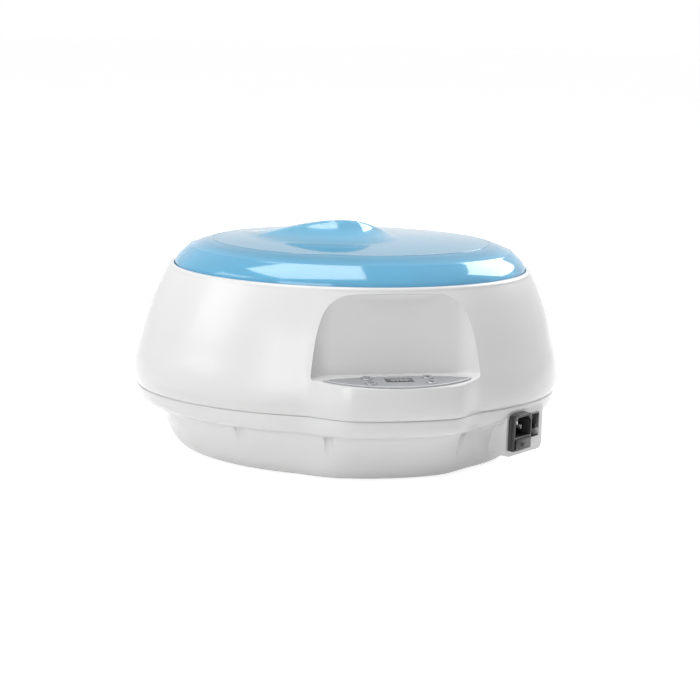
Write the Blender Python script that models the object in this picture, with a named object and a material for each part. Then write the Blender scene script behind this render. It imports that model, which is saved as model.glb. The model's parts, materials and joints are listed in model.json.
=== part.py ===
"""Oval paraffin wax bath with a lift-off lid, a front console and a mains inlet.

Metres, +Z up. The console faces -Y and the bath stands on z = 0.
"""

import math

import bmesh
import bpy
from mathutils import Matrix, Vector

# Fits: the gap between pieces that touch, and how far a cut runs past what it cuts
GAP = 0.0003
OVERRUN = 0.004
WALL = 0.0025

# Body: half sizes of its ovals, and the heights they lie at
FOOT_HALF_X = 0.142
FOOT_HALF_Y = 0.134
SEAM_HALF_X = 0.1865
SEAM_HALF_Y = 0.157
WAIST_HALF_X = 0.1900
WAIST_HALF_Y = 0.160
RIM_HALF_X = 0.160
RIM_HALF_Y = 0.1375
FLOOR_Z = 0.0025
SEAM_Z = 0.057
RIM_Z = 0.161
RIM_ROUND = 0.003

# Seat for the lid, inside the rim
RIM_LIP = 0.0045
SEAT_DROP = 0.004
LID_PLAY = 0.0008

# Console: a swell at the front of the body, with a recess cut into it
SWELL_DEPTH = 0.016
SWELL_FLAT_HALF = 0.043
SWELL_FLANK_HALF = 0.080
RECESS_FLOOR_HALF = 0.0755
RECESS_TOP_HALF = 0.0730
RECESS_TOP_Z = 0.1575
RECESS_BACK_LIP = 0.003
RECESS_BLEND = 0.022
RECESS_TOP_ROUND = 0.015
RECESS_FLOOR_ROUND = 0.004
LEDGE_FRONT_Z = 0.084
LEDGE_TILT = math.radians(7)

# Control overlay on the ledge, and what shows through it
OVERLAY_HALF = 0.0635
OVERLAY_FRONT_BOW = 0.022
OVERLAY_BACK_BOW = 0.0085
OVERLAY_TIP_BACK = 0.0255
OVERLAY_LENS_SHARE = 0.8
OVERLAY_THICK = 0.0008
KEY_SPREAD = 0.026
KEY_PITCH = 0.0125
KEY_RADIUS = 0.0046
KEY_RISE = 0.0007
KEY_FLANGE = 0.0013
KEY_STEM_RADIUS = 0.002
KEY_TRAVEL_ROOM = 0.0006
DISPLAY_LENGTH = 0.023
DISPLAY_DEPTH = 0.009
DISPLAY_BEZEL = 0.0018

# Control board under the ledge
BOARD_HALF_X = 0.040
BOARD_DEPTH = 0.024
BOARD_DROP = 0.0078
BOARD_THICK = 0.0016
BOARD_POST_RADIUS = 0.003
BOARD_POST_X = 0.036
TACT_SIDE = 0.006
TACT_HEIGHT = 0.0027
SMALL_SCREW_RADIUS = 0.001
SMALL_HEAD_RADIUS = 0.002
SMALL_HEAD_HEIGHT = 0.0012
SMALL_SCREW_LENGTH = 0.005

# Tank, its gasket and the grille at its bottom
MOUTH_INSET = 0.027
MOUTH_PLAY = 0.003
FLANGE_INSET = 0.020
TANK_THICK = 0.0015
GASKET_THICK = 0.0015
TANK_TAPER = 0.014
TANK_FLOOR_Z = 0.054
TANK_CORNER = 0.016
GRILLE_THICK = 0.0025
GRILLE_FOOT = 0.006
GRILLE_PLAY = 0.004
GRILLE_SLOT = 0.006
GRILLE_PITCH = 0.017

# Heating under the tank
HEATER_THICK = 0.003
HEATER_MARGIN = 0.016
HEATER_HOLE = 0.028
CLAMP_HALF_X = 0.040
CLAMP_HALF_Y = 0.013
CLAMP_THICK = 0.0012
SENSOR_PLACE = 0.014
CUTOUT_FLANGE_RADIUS = 0.010
CUTOUT_RADIUS = 0.0075
CUTOUT_HEIGHT = 0.007
SENSOR_FLANGE_RADIUS = 0.005
SENSOR_RADIUS = 0.003
SENSOR_HEIGHT = 0.008
SHIELD_Z = 0.0375
SHIELD_THICK = 0.001
SHIELD_RIM = 0.006
SHIELD_HALF_X = 0.110
SHIELD_HALF_Y = 0.086

# Posts and power board on the floor of the base
POST_RADIUS = 0.004
PIN_RADIUS = 0.0015
PIN_LENGTH = 0.003
SHIELD_POST_X = 0.084
SHIELD_POST_Y = 0.040
POWER_X = -0.018
POWER_Y = 0.012
POWER_HALF_X = 0.050
POWER_HALF_Y = 0.032
POWER_POST_MARGIN = 0.006
POWER_POST_HEIGHT = 0.005
TRANSFORMER_SIZE = (0.034, 0.028, 0.0205)
RELAY_SIZE = (0.019, 0.0155, 0.015)
TERMINAL_SIZE = (0.012, 0.034, 0.011)

# Screws that hold the base to the housing, in wells under the shoulder
SCREW_ANGLES = (-168, -135, -109, -69, -15, 15, 50, 90, 130, 165)
SCREW_INSET = 0.0155
WELL_RADIUS = 0.004
WELL_TOP_DROP = 0.0055
BOSS_RADIUS = 0.0045
BOSS_HEIGHT = 0.014
SCREW_RADIUS = 0.0015
SCREW_LENGTH = 0.012
HEAD_RADIUS = 0.0032
HEAD_HEIGHT = 0.0022

# Feet and floor vents
FOOT_RADIUS = 0.009
FOOT_POCKET = 0.001
FOOT_X = 0.100
FOOT_Y = 0.066
VENT_LENGTH = 0.040
VENT_WIDTH = 0.003
VENT_PITCH = 0.009
VENT_COUNT = 4
VENT_X = 0.092

# Flat pad at the front right corner of the base, which carries the inlet and switch
PAD_ANGLE = math.radians(38)
PAD_INSET = 0.0030
PAD_CENTRE = 0.0320
PAD_HALF = 0.029
PAD_LOW_Z = 0.0135
PAD_HIGH_Z = 0.0530
PAD_ROUND = 0.007
PAD_ROOT = 0.100
PAD_WALL = 0.003

# Mains inlet with its fuse drawer
INLET_X = 0.0200
INLET_LOW_Z = 0.0188
INLET_WIDTH = 0.028
INLET_HEIGHT = 0.0312
INLET_RIM = 0.0009
INLET_FACE = 0.006
INLET_GROOVE_SHARES = (0.3, 0.36, 0.44, 0.5)
INLET_DEPTH = 0.023
INLET_ROUND = 0.004
SOCKET_WIDTH = 0.0245
SOCKET_HEIGHT = 0.0167
SOCKET_CHAMFER = 0.0044
SOCKET_DEPTH = 0.0165
SOCKET_TOP_MARGIN = 0.0024
PIN_WIDE = 0.004
PIN_THICK = 0.002
PIN_SPREAD = 0.007
PIN_LIFT = 0.0022
PIN_RECESS = 0.0062
PIN_TAIL = 0.006
DRAWER_WIDTH = 0.0225
DRAWER_HEIGHT = 0.0084
DRAWER_DEPTH = 0.013
DRAWER_MARGIN = 0.0014
DRAWER_PLATE = 0.0012
FUSE_RADIUS = 0.0026
FUSE_LENGTH = 0.0200
FUSE_CAP = 0.005

# Rocker switch beside the inlet
SWITCH_SPACE = 0.0044
SWITCH_LOW_Z = 0.0256
SWITCH_WIDTH = 0.015
SWITCH_HEIGHT = 0.021
SWITCH_FACE = 0.0016
SWITCH_RIM = 0.0016
SWITCH_DEPTH = 0.013
ROCKER_WIDTH = 0.0104
ROCKER_HEIGHT = 0.0158
ROCKER_TILT = math.radians(11)
ROCKER_PIVOT = 0.0012
ROCKER_BELLY = 0.0062
ROCKER_BELLY_SHARE = 0.8

# Lid: how far its creases lie inside its edge, and how high above its seat
LID_THICK = 0.0022
LID_EDGE_RISE = 0.0052
LID_SKIRT_INSET = 0.0120
LID_SKIRT_RISE = 0.0185
LID_PLATEAU_INSET = 0.0315
LID_PLATEAU_RISE = 0.0250
LID_CROWN_RISE = 0.0290
LID_SKIRT_SHARES = ((0.02, 0.12), (0.12, 0.34), (0.42, 0.68), (1.0, 1.0))
LID_SLOPE_SHARES = ((0.35, 0.45), (0.75, 0.83), (1.0, 1.0))
LID_CROWN_SHARES = (0.16, 0.34, 0.52, 0.68, 0.83, 0.96)
HANDLE_RISE = 0.0160
HANDLE_X = -0.014
HANDLE_LEFT = 0.073
HANDLE_RIGHT = 0.054
HANDLE_BACK = 0.060
HANDLE_FRONT = 0.056
HANDLE_RIDGE_Y = -0.020
HANDLE_BOW = 0.032
HANDLE_FALL_SHARE = 1.3
HANDLE_HOLLOW_SHARE = 1.8

# Leads
LEAD_RADIUS = 0.0012
LEAD_BEND = 0.010
LEAD_STEPS = 3
ROUTE_SHARE = 0.5

# Points round each oval: closer together along the front, where the console swells
FRONT_STEPS = 34
BACK_STEPS = 20
LID_STEPS = 40
TANK_STEPS = 32

# Side of the housing, from the seam up: height, reach from rim to waist, and swell
HOUSING_SIDE_SHARES = (
    (0.04, 0.94, 1.0),
    (0.12, 1.0, 1.0),
    (0.25, 0.94, 1.0),
    (0.42, 0.77, 0.88),
    (0.58, 0.61, 0.68),
    (0.72, 0.44, 0.45),
    (0.86, 0.24, 0.20),
    (0.94, 0.11, 0.08),
    (1.0, 0.0, 0.0),
)

# Side of the base, from the floor up: height, reach from foot to seam, and swell
BASE_SIDE_SHARES = (
    (0.0, 0.0, 0.50),
    (0.028, 0.10, 0.52),
    (0.10, 0.20, 0.54),
    (0.21, 0.29, 0.58),
    (0.43, 0.41, 0.64),
    (0.62, 0.49, 0.72),
    (0.68, 0.57, 0.80),
    (0.725, 0.74, 0.90),
    (0.77, 0.88, 0.96),
    (0.86, 0.965, 1.0),
    (1.0, 1.0, 1.0),
)

# Inner side of the base, which turns out above the underside of its shoulder
BASE_INNER_SHARES = (
    (0.0, 0.0, 0.50),
    (0.10, 0.20, 0.54),
    (0.43, 0.41, 0.64),
    (0.67, 0.51, 0.72),
    (0.76, 0.58, 0.80),
    (0.84, 0.90, 0.96),
    (1.0, 1.0, 1.0),
)

BODY_Y = SWELL_DEPTH / 2
WELL_TOP_Z = SEAM_Z - WELL_TOP_DROP
SEAT_Z = RIM_Z - SEAT_DROP
RECESS_BACK_Y = BODY_Y - RIM_HALF_Y + RECESS_BACK_LIP
CONSOLE_FRONT_Y = BODY_Y - WAIST_HALF_Y - SWELL_DEPTH
SEAM_TOWARDS_PAD = math.hypot(SEAM_HALF_X * math.sin(PAD_ANGLE), SEAM_HALF_Y * math.cos(PAD_ANGLE))
PAD_REACH = SEAM_TOWARDS_PAD - PAD_INSET


def clear_scene():
    for thing in list(bpy.data.objects):
        bpy.data.objects.remove(thing, do_unlink=True)


def material(name, color, roughness, metallic=0.0, alpha=1.0):
    """A plain finish, made once for each name."""
    found = bpy.data.materials.get(name)
    if found:
        return found
    made = bpy.data.materials.new(name)
    made.use_nodes = True
    made.diffuse_color = (*color, alpha)
    shader = made.node_tree.nodes["Principled BSDF"]
    shader.inputs["Base Color"].default_value = (*color, 1.0)
    shader.inputs["Roughness"].default_value = roughness
    shader.inputs["Metallic"].default_value = metallic
    shader.inputs["Alpha"].default_value = alpha
    return made


def white_plastic():
    return material("white_plastic", (0.86, 0.86, 0.86), 0.28)


def blue_plastic():
    return material("blue_plastic", (0.16, 0.50, 0.80), 0.08, alpha=0.6)


def black_plastic():
    return material("black_plastic", (0.02, 0.02, 0.022), 0.4)


def grey_rubber():
    return material("grey_rubber", (0.25, 0.25, 0.26), 0.8)


def silver_film():
    return material("silver_film", (0.52, 0.53, 0.55), 0.35, 0.3)


def bare_metal():
    return material("bare_metal", (0.70, 0.71, 0.72), 0.3, 1.0)


def brass_metal():
    return material("brass_metal", (0.80, 0.62, 0.30), 0.3, 1.0)


def lerp(start, end, share):
    return start + (end - start) * share


def smooth_share(share):
    share = min(1.0, max(0.0, share))
    return share * share * (3 - 2 * share)


def add_object(name, mesh, finish, sharp=math.radians(35)):
    """Turns a bmesh into a named object with outward faces."""
    bmesh.ops.recalc_face_normals(mesh, faces=mesh.faces)
    data = bpy.data.meshes.new(name)
    mesh.to_mesh(data)
    mesh.free()
    data.shade_smooth()
    data.set_sharp_from_angle(angle=sharp)
    data.materials.append(finish)
    made = bpy.data.objects.new(name, data)
    bpy.context.collection.objects.link(made)
    return made


def add_guide(name, mesh):
    """A hidden shape that only cuts or joins others."""
    made = add_object(name, mesh, white_plastic())
    made.hide_render = True
    made.display_type = "WIRE"
    return made


def boolean(target, tool, operation):
    step = target.modifiers.new(operation.lower() + "_" + tool.name, "BOOLEAN")
    step.operation = operation
    step.solver = "EXACT"
    step.object = tool


def cut(target, tool):
    boolean(target, tool, "DIFFERENCE")


def loft_mesh(rings, closed=False, mesh=None):
    """Skins rings of equal count. A closed loft joins its last ring to its first."""
    mesh = mesh or bmesh.new()
    rows = [[mesh.verts.new(point) for point in ring] for ring in rings]
    count = len(rows[0])
    pairs = list(zip(rows, rows[1:]))
    if closed:
        pairs.append((rows[-1], rows[0]))
    else:
        mesh.faces.new(list(reversed(rows[0])))
        mesh.faces.new(rows[-1])
    for low, high in pairs:
        for i in range(count):
            mesh.faces.new((low[i - 1], low[i], high[i], high[i - 1]))
    return mesh


def placed(ring, frame):
    return [frame @ point for point in ring]


def swell_share(x):
    """How much of the console's swell shows at x, from 1 in the middle to 0."""
    flank = SWELL_FLANK_HALF - SWELL_FLAT_HALF
    return smooth_share((SWELL_FLANK_HALF - abs(x)) / flank)


def oval_point(half_x, half_y, angle, z, swell=0.0):
    x = half_x * math.cos(angle)
    y = half_y * math.sin(angle)
    if y < 0:
        y -= swell * swell_share(x)
    return Vector((x, y + BODY_Y, z))


def body_angles():
    front = [math.pi * (1 + step / FRONT_STEPS) for step in range(FRONT_STEPS)]
    back = [math.pi * step / BACK_STEPS for step in range(BACK_STEPS)]
    return front + back


def body_ring(half_x, half_y, z, swell=0.0):
    return [oval_point(half_x, half_y, angle, z, swell) for angle in body_angles()]


def plain_ring(half_x, half_y, z, count, centre_y=BODY_Y):
    angles = [math.tau * step / count for step in range(count)]
    return [Vector((half_x * math.cos(a), half_y * math.sin(a) + centre_y, z)) for a in angles]


def circle(radius, z, count=16):
    angles = [math.tau * step / count for step in range(count)]
    return [Vector((radius * math.cos(a), radius * math.sin(a), z)) for a in angles]


def turned_mesh(profile, frame=Matrix(), count=16, mesh=None):
    """A solid of circles: profile lists (radius, height) from its low end to its high end."""
    return loft_mesh([placed(circle(r, z, count), frame) for r, z in profile], mesh=mesh)


def rectangle(half_x, half_y, z, centre=(0.0, 0.0)):
    x, y = centre
    return [
        Vector((x - half_x, y - half_y, z)),
        Vector((x + half_x, y - half_y, z)),
        Vector((x + half_x, y + half_y, z)),
        Vector((x - half_x, y + half_y, z)),
    ]


def block_mesh(size, centre, frame=Matrix(), mesh=None):
    """A box of a given size about a centre."""
    x, y, z = centre
    rings = [
        rectangle(size[0] / 2, size[1] / 2, z - size[2] / 2, (x, y)),
        rectangle(size[0] / 2, size[1] / 2, z + size[2] / 2, (x, y)),
    ]
    return loft_mesh([placed(ring, frame) for ring in rings], mesh=mesh)


def rounded_outline(corners, radii, steps=3):
    """Rounds each corner of a flat outline of (x, y) pairs."""
    points = []
    for i, corner in enumerate(corners):
        here = Vector(corner)
        before = Vector(corners[i - 1])
        after = Vector(corners[(i + 1) % len(corners)])
        radius = radii[i]
        start = here + (before - here).normalized() * radius
        end = here + (after - here).normalized() * radius
        for step in range(steps + 1):
            t = step / steps
            points.append(start * (1 - t) ** 2 + here * (2 * t * (1 - t)) + end * t**2)
    return points


def prism_mesh(outline, low, high, frame=Matrix(), mesh=None):
    rings = [[frame @ Vector((x, y, z)) for x, y in outline] for z in (low, high)]
    return loft_mesh(rings, mesh=mesh)


def housing_side(inset, low, high, shares=HOUSING_SIDE_SHARES):
    rings = []
    for height, reach, swell in shares:
        half_x = lerp(RIM_HALF_X, WAIST_HALF_X, reach) - inset
        half_y = lerp(RIM_HALF_Y, WAIST_HALF_Y, reach) - inset
        rings.append(body_ring(half_x, half_y, lerp(low, high, height), swell * SWELL_DEPTH))
    return rings


def housing_outer():
    rings = [body_ring(SEAM_HALF_X, SEAM_HALF_Y, SEAM_Z + GAP, SWELL_DEPTH)]
    rings += housing_side(0.0, SEAM_Z + GAP, RIM_Z - RIM_ROUND)
    for turn in (math.radians(35), math.radians(65), math.radians(90)):
        inset = RIM_ROUND * (1 - math.cos(turn))
        z = RIM_Z - RIM_ROUND * (1 - math.sin(turn))
        rings.append(body_ring(RIM_HALF_X - inset, RIM_HALF_Y - inset, z))
    rings.append(body_ring(RIM_HALF_X - RIM_LIP, RIM_HALF_Y - RIM_LIP, RIM_Z))
    rings.append(body_ring(RIM_HALF_X - RIM_LIP, RIM_HALF_Y - RIM_LIP, SEAT_Z))
    return loft_mesh(rings)


def housing_cavity():
    """The space inside the housing, up through the mouth that holds the tank."""
    rings = [
        body_ring(SEAM_HALF_X - WALL, SEAM_HALF_Y - WALL, SEAM_Z - OVERRUN, SWELL_DEPTH),
        body_ring(SEAM_HALF_X - WALL, SEAM_HALF_Y - WALL, SEAM_Z + GAP, SWELL_DEPTH),
    ]
    rings += housing_side(WALL, SEAM_Z + GAP, SEAT_Z - WALL, HOUSING_SIDE_SHARES[::2])
    mouth = (RIM_HALF_X - MOUTH_INSET, RIM_HALF_Y - MOUTH_INSET)
    rings.append(body_ring(*mouth, SEAT_Z - WALL))
    rings.append(body_ring(*mouth, RIM_Z + OVERRUN))
    return loft_mesh(rings)


def ledge_height(y):
    """The ledge climbs away from the user, from its front edge to the back wall."""
    return LEDGE_FRONT_Z + (y - CONSOLE_FRONT_Y) * math.tan(LEDGE_TILT)


def recess_mesh(grow):
    """The console's recess, from its back wall to beyond the front of the body."""
    back = RECESS_BACK_Y + grow
    front = CONSOLE_FRONT_Y - OVERRUN
    blend = min(RECESS_BLEND, back - CONSOLE_FRONT_Y)
    depths = [blend * (1 - math.cos(math.radians(a))) for a in (0, 25, 45, 65, 90)]
    depths.append(back - front)
    rings = []
    for depth in depths:
        y = back - depth
        left = max(0.0, 1 - depth / blend)
        inset = blend * (1 - math.sqrt(max(0.0, 1 - left**2)))
        top_inset = inset * RECESS_BACK_LIP / RECESS_BLEND
        low = RECESS_FLOOR_HALF - inset + grow
        high = RECESS_TOP_HALF - inset * RECESS_TOP_HALF / RECESS_FLOOR_HALF + grow
        floor = ledge_height(y) - grow
        top = RECESS_TOP_Z - top_inset + grow
        corners = [(-low, floor), (low, floor), (high, top), (-high, top)]
        radii = [RECESS_FLOOR_ROUND, RECESS_FLOOR_ROUND, RECESS_TOP_ROUND, RECESS_TOP_ROUND]
        rings.append([Vector((x, y, z)) for x, z in rounded_outline(corners, radii)])
    return loft_mesh(rings)


def ledge_frame():
    """Local axes of the ledge: x to the right, y towards the back wall, z out of it."""
    y = CONSOLE_FRONT_Y + OVERLAY_TIP_BACK
    turn = Matrix.Rotation(LEDGE_TILT, 4, "X")
    return Matrix.Translation((0.0, y, ledge_height(y))) @ turn


def key_places():
    """The four keys by name, in the ledge's local axes, and the row between them."""
    middle = (OVERLAY_BACK_BOW - OVERLAY_FRONT_BOW) / 2 + KEY_PITCH / 4
    back = middle + KEY_PITCH / 2
    front = middle - KEY_PITCH / 2
    places = {
        "key_power": (-KEY_SPREAD, back),
        "key_timer": (-KEY_SPREAD, front),
        "key_up": (KEY_SPREAD, back),
        "key_down": (KEY_SPREAD, front),
    }
    return places, middle


def screw_place(angle_degrees):
    angle = math.radians(angle_degrees)
    half_x = SEAM_HALF_X - SCREW_INSET
    half_y = SEAM_HALF_Y - SCREW_INSET
    return oval_point(half_x, half_y, angle, 0.0, SWELL_DEPTH)


def screw_outward(angle_degrees):
    angle = math.radians(angle_degrees)
    across = Vector((math.cos(angle) / SEAM_HALF_X, math.sin(angle) / SEAM_HALF_Y, 0.0))
    return across.normalized()


def boss_guides(name, low, high):
    """Blocks round the case screws that reach out to the wall beside them."""
    mesh = bmesh.new()
    for angle in SCREW_ANGLES:
        place = screw_place(angle)
        outward = screw_outward(angle)
        side = Vector((-outward.y, outward.x, 0.0))
        outline = []
        for step in range(7):
            turn = math.radians(90 + 30 * step)
            point = place + (outward * math.cos(turn) + side * math.sin(turn)) * BOSS_RADIUS
            outline.append((point.x, point.y))
        for across in (-BOSS_RADIUS, BOSS_RADIUS):
            point = place + outward * (SCREW_INSET + OVERRUN) + side * across
            outline.append((point.x, point.y))
        prism_mesh(outline, low, high, mesh=mesh)
    return add_guide(name, mesh)


def screw_holes(name, radius, low, high):
    mesh = bmesh.new()
    for angle in SCREW_ANGLES:
        frame = Matrix.Translation(screw_place(angle))
        turned_mesh(((radius, low), (radius, high)), frame, 8, mesh)
    return add_guide(name, mesh)


def board_post_places():
    """Local places of the two posts under the ledge, in the row between the keys."""
    middle = key_places()[1]
    return [(-BOARD_POST_X, middle), (BOARD_POST_X, middle)]


def build_upper_housing():
    housing = add_object("upper_housing", housing_outer(), white_plastic())
    cavity = add_guide("housing_cavity", housing_cavity())
    cut(cavity, add_guide("recess_wall", recess_mesh(WALL)))
    cut(cavity, boss_guides("housing_bosses", SEAM_Z - 2 * OVERRUN, SEAM_Z + BOSS_HEIGHT))
    posts = bmesh.new()
    holes = bmesh.new()
    for x, y in board_post_places():
        frame = ledge_frame() @ Matrix.Translation((x, y, 0.0))
        turned_mesh(((BOARD_POST_RADIUS, -BOARD_DROP), (BOARD_POST_RADIUS, -WALL / 2)), frame, 12, posts)
        hole = SMALL_SCREW_RADIUS + GAP
        reach = SMALL_SCREW_LENGTH + GAP
        turned_mesh(((hole, -BOARD_DROP - OVERRUN), (hole, -BOARD_DROP + reach)), frame, 10, holes)
    cut(cavity, add_guide("board_posts", posts))
    cut(housing, cavity)
    cut(housing, add_guide("recess", recess_mesh(0.0)))
    cut(housing, add_guide("board_post_holes", holes))
    low = SEAM_Z - OVERRUN
    high = WELL_TOP_Z + SCREW_LENGTH + GAP
    cut(housing, screw_holes("housing_screw_holes", SCREW_RADIUS + GAP, low, high))
    ledge_holes = bmesh.new()
    places, middle = key_places()
    for x, y in places.values():
        frame = ledge_frame() @ Matrix.Translation((x, y, 0.0))
        turned_mesh(((KEY_RADIUS + GAP, -WALL - OVERRUN), (KEY_RADIUS + GAP, OVERRUN)), frame, 16, ledge_holes)
    size = (DISPLAY_LENGTH + 2 * GAP, DISPLAY_DEPTH + 2 * GAP, WALL + 2 * OVERRUN)
    block_mesh(size, (0.0, middle, -WALL / 2), ledge_frame(), ledge_holes)
    cut(housing, add_guide("ledge_holes", ledge_holes))


def overlay_outline(inset=0.0):
    """A lens whose front edge bows further than its back edge."""
    half = OVERLAY_HALF - inset
    count = 16
    front = []
    back = []
    for step in range(count + 1):
        x = lerp(-half, half, step / count)
        rise = 1 - (x / half) ** 2
        front.append((x, -(OVERLAY_FRONT_BOW - inset) * rise**OVERLAY_LENS_SHARE))
        back.append((-x, (OVERLAY_BACK_BOW - inset) * rise**OVERLAY_LENS_SHARE))
    return front + back[1:-1]


def build_control_overlay():
    frame = ledge_frame()
    overlay = add_object(
        "control_overlay",
        prism_mesh(overlay_outline(), GAP, GAP + OVERLAY_THICK, frame),
        silver_film(),
    )
    holes = bmesh.new()
    places, middle = key_places()
    for x, y in places.values():
        spot = frame @ Matrix.Translation((x, y, 0.0))
        turned_mesh(((KEY_RADIUS + GAP, -OVERRUN), (KEY_RADIUS + GAP, OVERRUN)), spot, 16, holes)
    size = (DISPLAY_LENGTH + 2 * GAP, DISPLAY_DEPTH + 2 * GAP, 2 * OVERRUN)
    block_mesh(size, (0.0, middle, 0.0), frame, holes)
    cut(overlay, add_guide("overlay_holes", holes))


def build_keys():
    """Round keys that stand through the overlay, each held by a flange under the ledge."""
    top = GAP + OVERLAY_THICK + KEY_RISE
    under = -WALL - GAP
    stem_end = -BOARD_DROP + TACT_HEIGHT + GAP + KEY_TRAVEL_ROOM
    edge = KEY_RISE / 2
    profile = (
        (KEY_STEM_RADIUS, stem_end),
        (KEY_STEM_RADIUS, under - KEY_FLANGE),
        (KEY_RADIUS + KEY_FLANGE, under - KEY_FLANGE),
        (KEY_RADIUS + KEY_FLANGE, under),
        (KEY_RADIUS, under),
        (KEY_RADIUS, top - edge),
        (KEY_RADIUS - edge, top),
    )
    for name, (x, y) in key_places()[0].items():
        key = add_object(name, turned_mesh(profile, count=16), silver_film())
        key.matrix_world = ledge_frame() @ Matrix.Translation((x, y, 0.0))


def build_display():
    """The display stands on the control board and shows through the overlay."""
    middle = key_places()[1]
    shoulder = -WALL - GAP
    wide = (DISPLAY_LENGTH / 2 + DISPLAY_BEZEL, DISPLAY_DEPTH / 2 + DISPLAY_BEZEL)
    slim = (DISPLAY_LENGTH / 2, DISPLAY_DEPTH / 2)
    rings = [
        rectangle(*wide, -BOARD_DROP),
        rectangle(*wide, shoulder),
        rectangle(*slim, shoulder),
        rectangle(*slim, GAP + OVERLAY_THICK),
    ]
    display = add_object("display_module", loft_mesh(rings), black_plastic())
    display.matrix_world = ledge_frame() @ Matrix.Translation((0.0, middle, 0.0))


def build_control_board():
    """The board hangs under the ledge on two screws and carries the key switches."""
    middle = key_places()[1]
    top = -BOARD_DROP - GAP
    frame = ledge_frame()
    size = (2 * BOARD_HALF_X, BOARD_DEPTH, BOARD_THICK)
    plate = block_mesh(size, (0.0, middle, top - BOARD_THICK / 2), frame)
    board = add_object("control_board", plate, material("green_board", (0.05, 0.25, 0.12), 0.5))
    holes = bmesh.new()
    for x, y in board_post_places():
        spot = frame @ Matrix.Translation((x, y, top))
        radius = SMALL_SCREW_RADIUS + GAP
        turned_mesh(((radius, -OVERRUN), (radius, OVERRUN)), spot, 10, holes)
    cut(board, add_guide("board_holes", holes))
    for side, (x, y) in zip(("left", "right"), board_post_places()):
        under = top - BOARD_THICK - GAP
        profile = (
            (SMALL_HEAD_RADIUS, under - SMALL_HEAD_HEIGHT),
            (SMALL_HEAD_RADIUS, under),
            (SMALL_SCREW_RADIUS, under),
            (SMALL_SCREW_RADIUS, -BOARD_DROP + SMALL_SCREW_LENGTH),
        )
        screw = add_object("board_screw_" + side, turned_mesh(profile, count=10), bare_metal())
        screw.matrix_world = frame @ Matrix.Translation((x, y, 0.0))
    for name, (x, y) in key_places()[0].items():
        half = TACT_SIDE / 2
        button = KEY_STEM_RADIUS * 2 / 3
        rings = [
            rectangle(half, half, top + GAP),
            rectangle(half, half, -BOARD_DROP + TACT_HEIGHT * 2 / 3),
            rectangle(button, button, -BOARD_DROP + TACT_HEIGHT * 2 / 3),
            rectangle(button, button, -BOARD_DROP + TACT_HEIGHT),
        ]
        switch = add_object(name.replace("key", "tact_switch"), loft_mesh(rings), black_plastic())
        switch.matrix_world = frame @ Matrix.Translation((x, y, 0.0))


def pad_frame():
    """Local axes of the pad: x along it to the right, y up, z straight out of it."""
    right = Vector((math.cos(PAD_ANGLE), math.sin(PAD_ANGLE), 0.0))
    out = Vector((math.sin(PAD_ANGLE), -math.cos(PAD_ANGLE), 0.0))
    up = Vector((0.0, 0.0, 1.0))
    place = Vector((0.0, BODY_Y, 0.0)) + out * PAD_REACH
    frame = Matrix((right, up, out)).transposed().to_4x4()
    frame.translation = place
    return frame


def pad_outline(inset):
    left = PAD_CENTRE - PAD_HALF + inset
    right = PAD_CENTRE + PAD_HALF - inset
    low = PAD_LOW_Z + inset
    high = PAD_HIGH_Z - inset
    corners = [(left, low), (right, low), (right, high), (left, high)]
    return rounded_outline(corners, [PAD_ROUND - inset] * 4)


def inlet_corners(inset):
    left = INLET_X - INLET_WIDTH / 2 + inset
    right = INLET_X + INLET_WIDTH / 2 - inset
    low = INLET_LOW_Z + inset
    high = INLET_LOW_Z + INLET_HEIGHT - inset
    return [(left, low), (right, low), (right, high), (left, high)]


def inlet_outline(inset):
    radii = [INLET_ROUND / 3, INLET_ROUND / 3, INLET_ROUND, INLET_ROUND]
    return rounded_outline(inlet_corners(inset), radii, 2)


def switch_left():
    return INLET_X + INLET_WIDTH / 2 + SWITCH_SPACE


def switch_corners(inset):
    left = switch_left() + inset
    right = switch_left() + SWITCH_WIDTH - inset
    low = SWITCH_LOW_Z + inset
    high = SWITCH_LOW_Z + SWITCH_HEIGHT - inset
    return [(left, low), (right, low), (right, high), (left, high)]


def post_guides():
    """Posts that stand on the floor of the base, as (name, x, y, top)."""
    posts = []
    for sx in (-1, 1):
        for sy in (-1, 1):
            posts.append((sx * SHIELD_POST_X, BODY_Y + sy * SHIELD_POST_Y, SHIELD_Z - GAP))
            x = POWER_X + sx * (POWER_HALF_X - POWER_POST_MARGIN)
            y = POWER_Y + sy * (POWER_HALF_Y - POWER_POST_MARGIN)
            posts.append((x, y, FLOOR_Z + WALL + POWER_POST_HEIGHT))
    return posts


def base_side(inset, low, shares=BASE_SIDE_SHARES):
    rings = []
    for height, reach, swell in shares:
        half_x = lerp(FOOT_HALF_X, SEAM_HALF_X, reach) - inset
        half_y = lerp(FOOT_HALF_Y, SEAM_HALF_Y, reach) - inset
        rings.append(body_ring(half_x, half_y, lerp(low, SEAM_Z, height), swell * SWELL_DEPTH))
    return rings


def base_cavity():
    rings = base_side(WALL, FLOOR_Z + WALL, BASE_INNER_SHARES)
    half = (SEAM_HALF_X - WALL, SEAM_HALF_Y - WALL)
    rings.append(body_ring(*half, SEAM_Z + OVERRUN, SWELL_DEPTH))
    return loft_mesh(rings)


def post_mesh():
    mesh = bmesh.new()
    for x, y, top in post_guides():
        frame = Matrix.Translation((x, y, 0.0))
        profile = (
            (POST_RADIUS, FLOOR_Z + WALL / 2),
            (POST_RADIUS, top),
            (PIN_RADIUS, top),
            (PIN_RADIUS, top + PIN_LENGTH),
        )
        turned_mesh(profile, frame, 10, mesh)
    return mesh


def foot_places():
    return [(sx * FOOT_X, BODY_Y + sy * FOOT_Y) for sx in (-1, 1) for sy in (-1, 1)]


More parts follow.
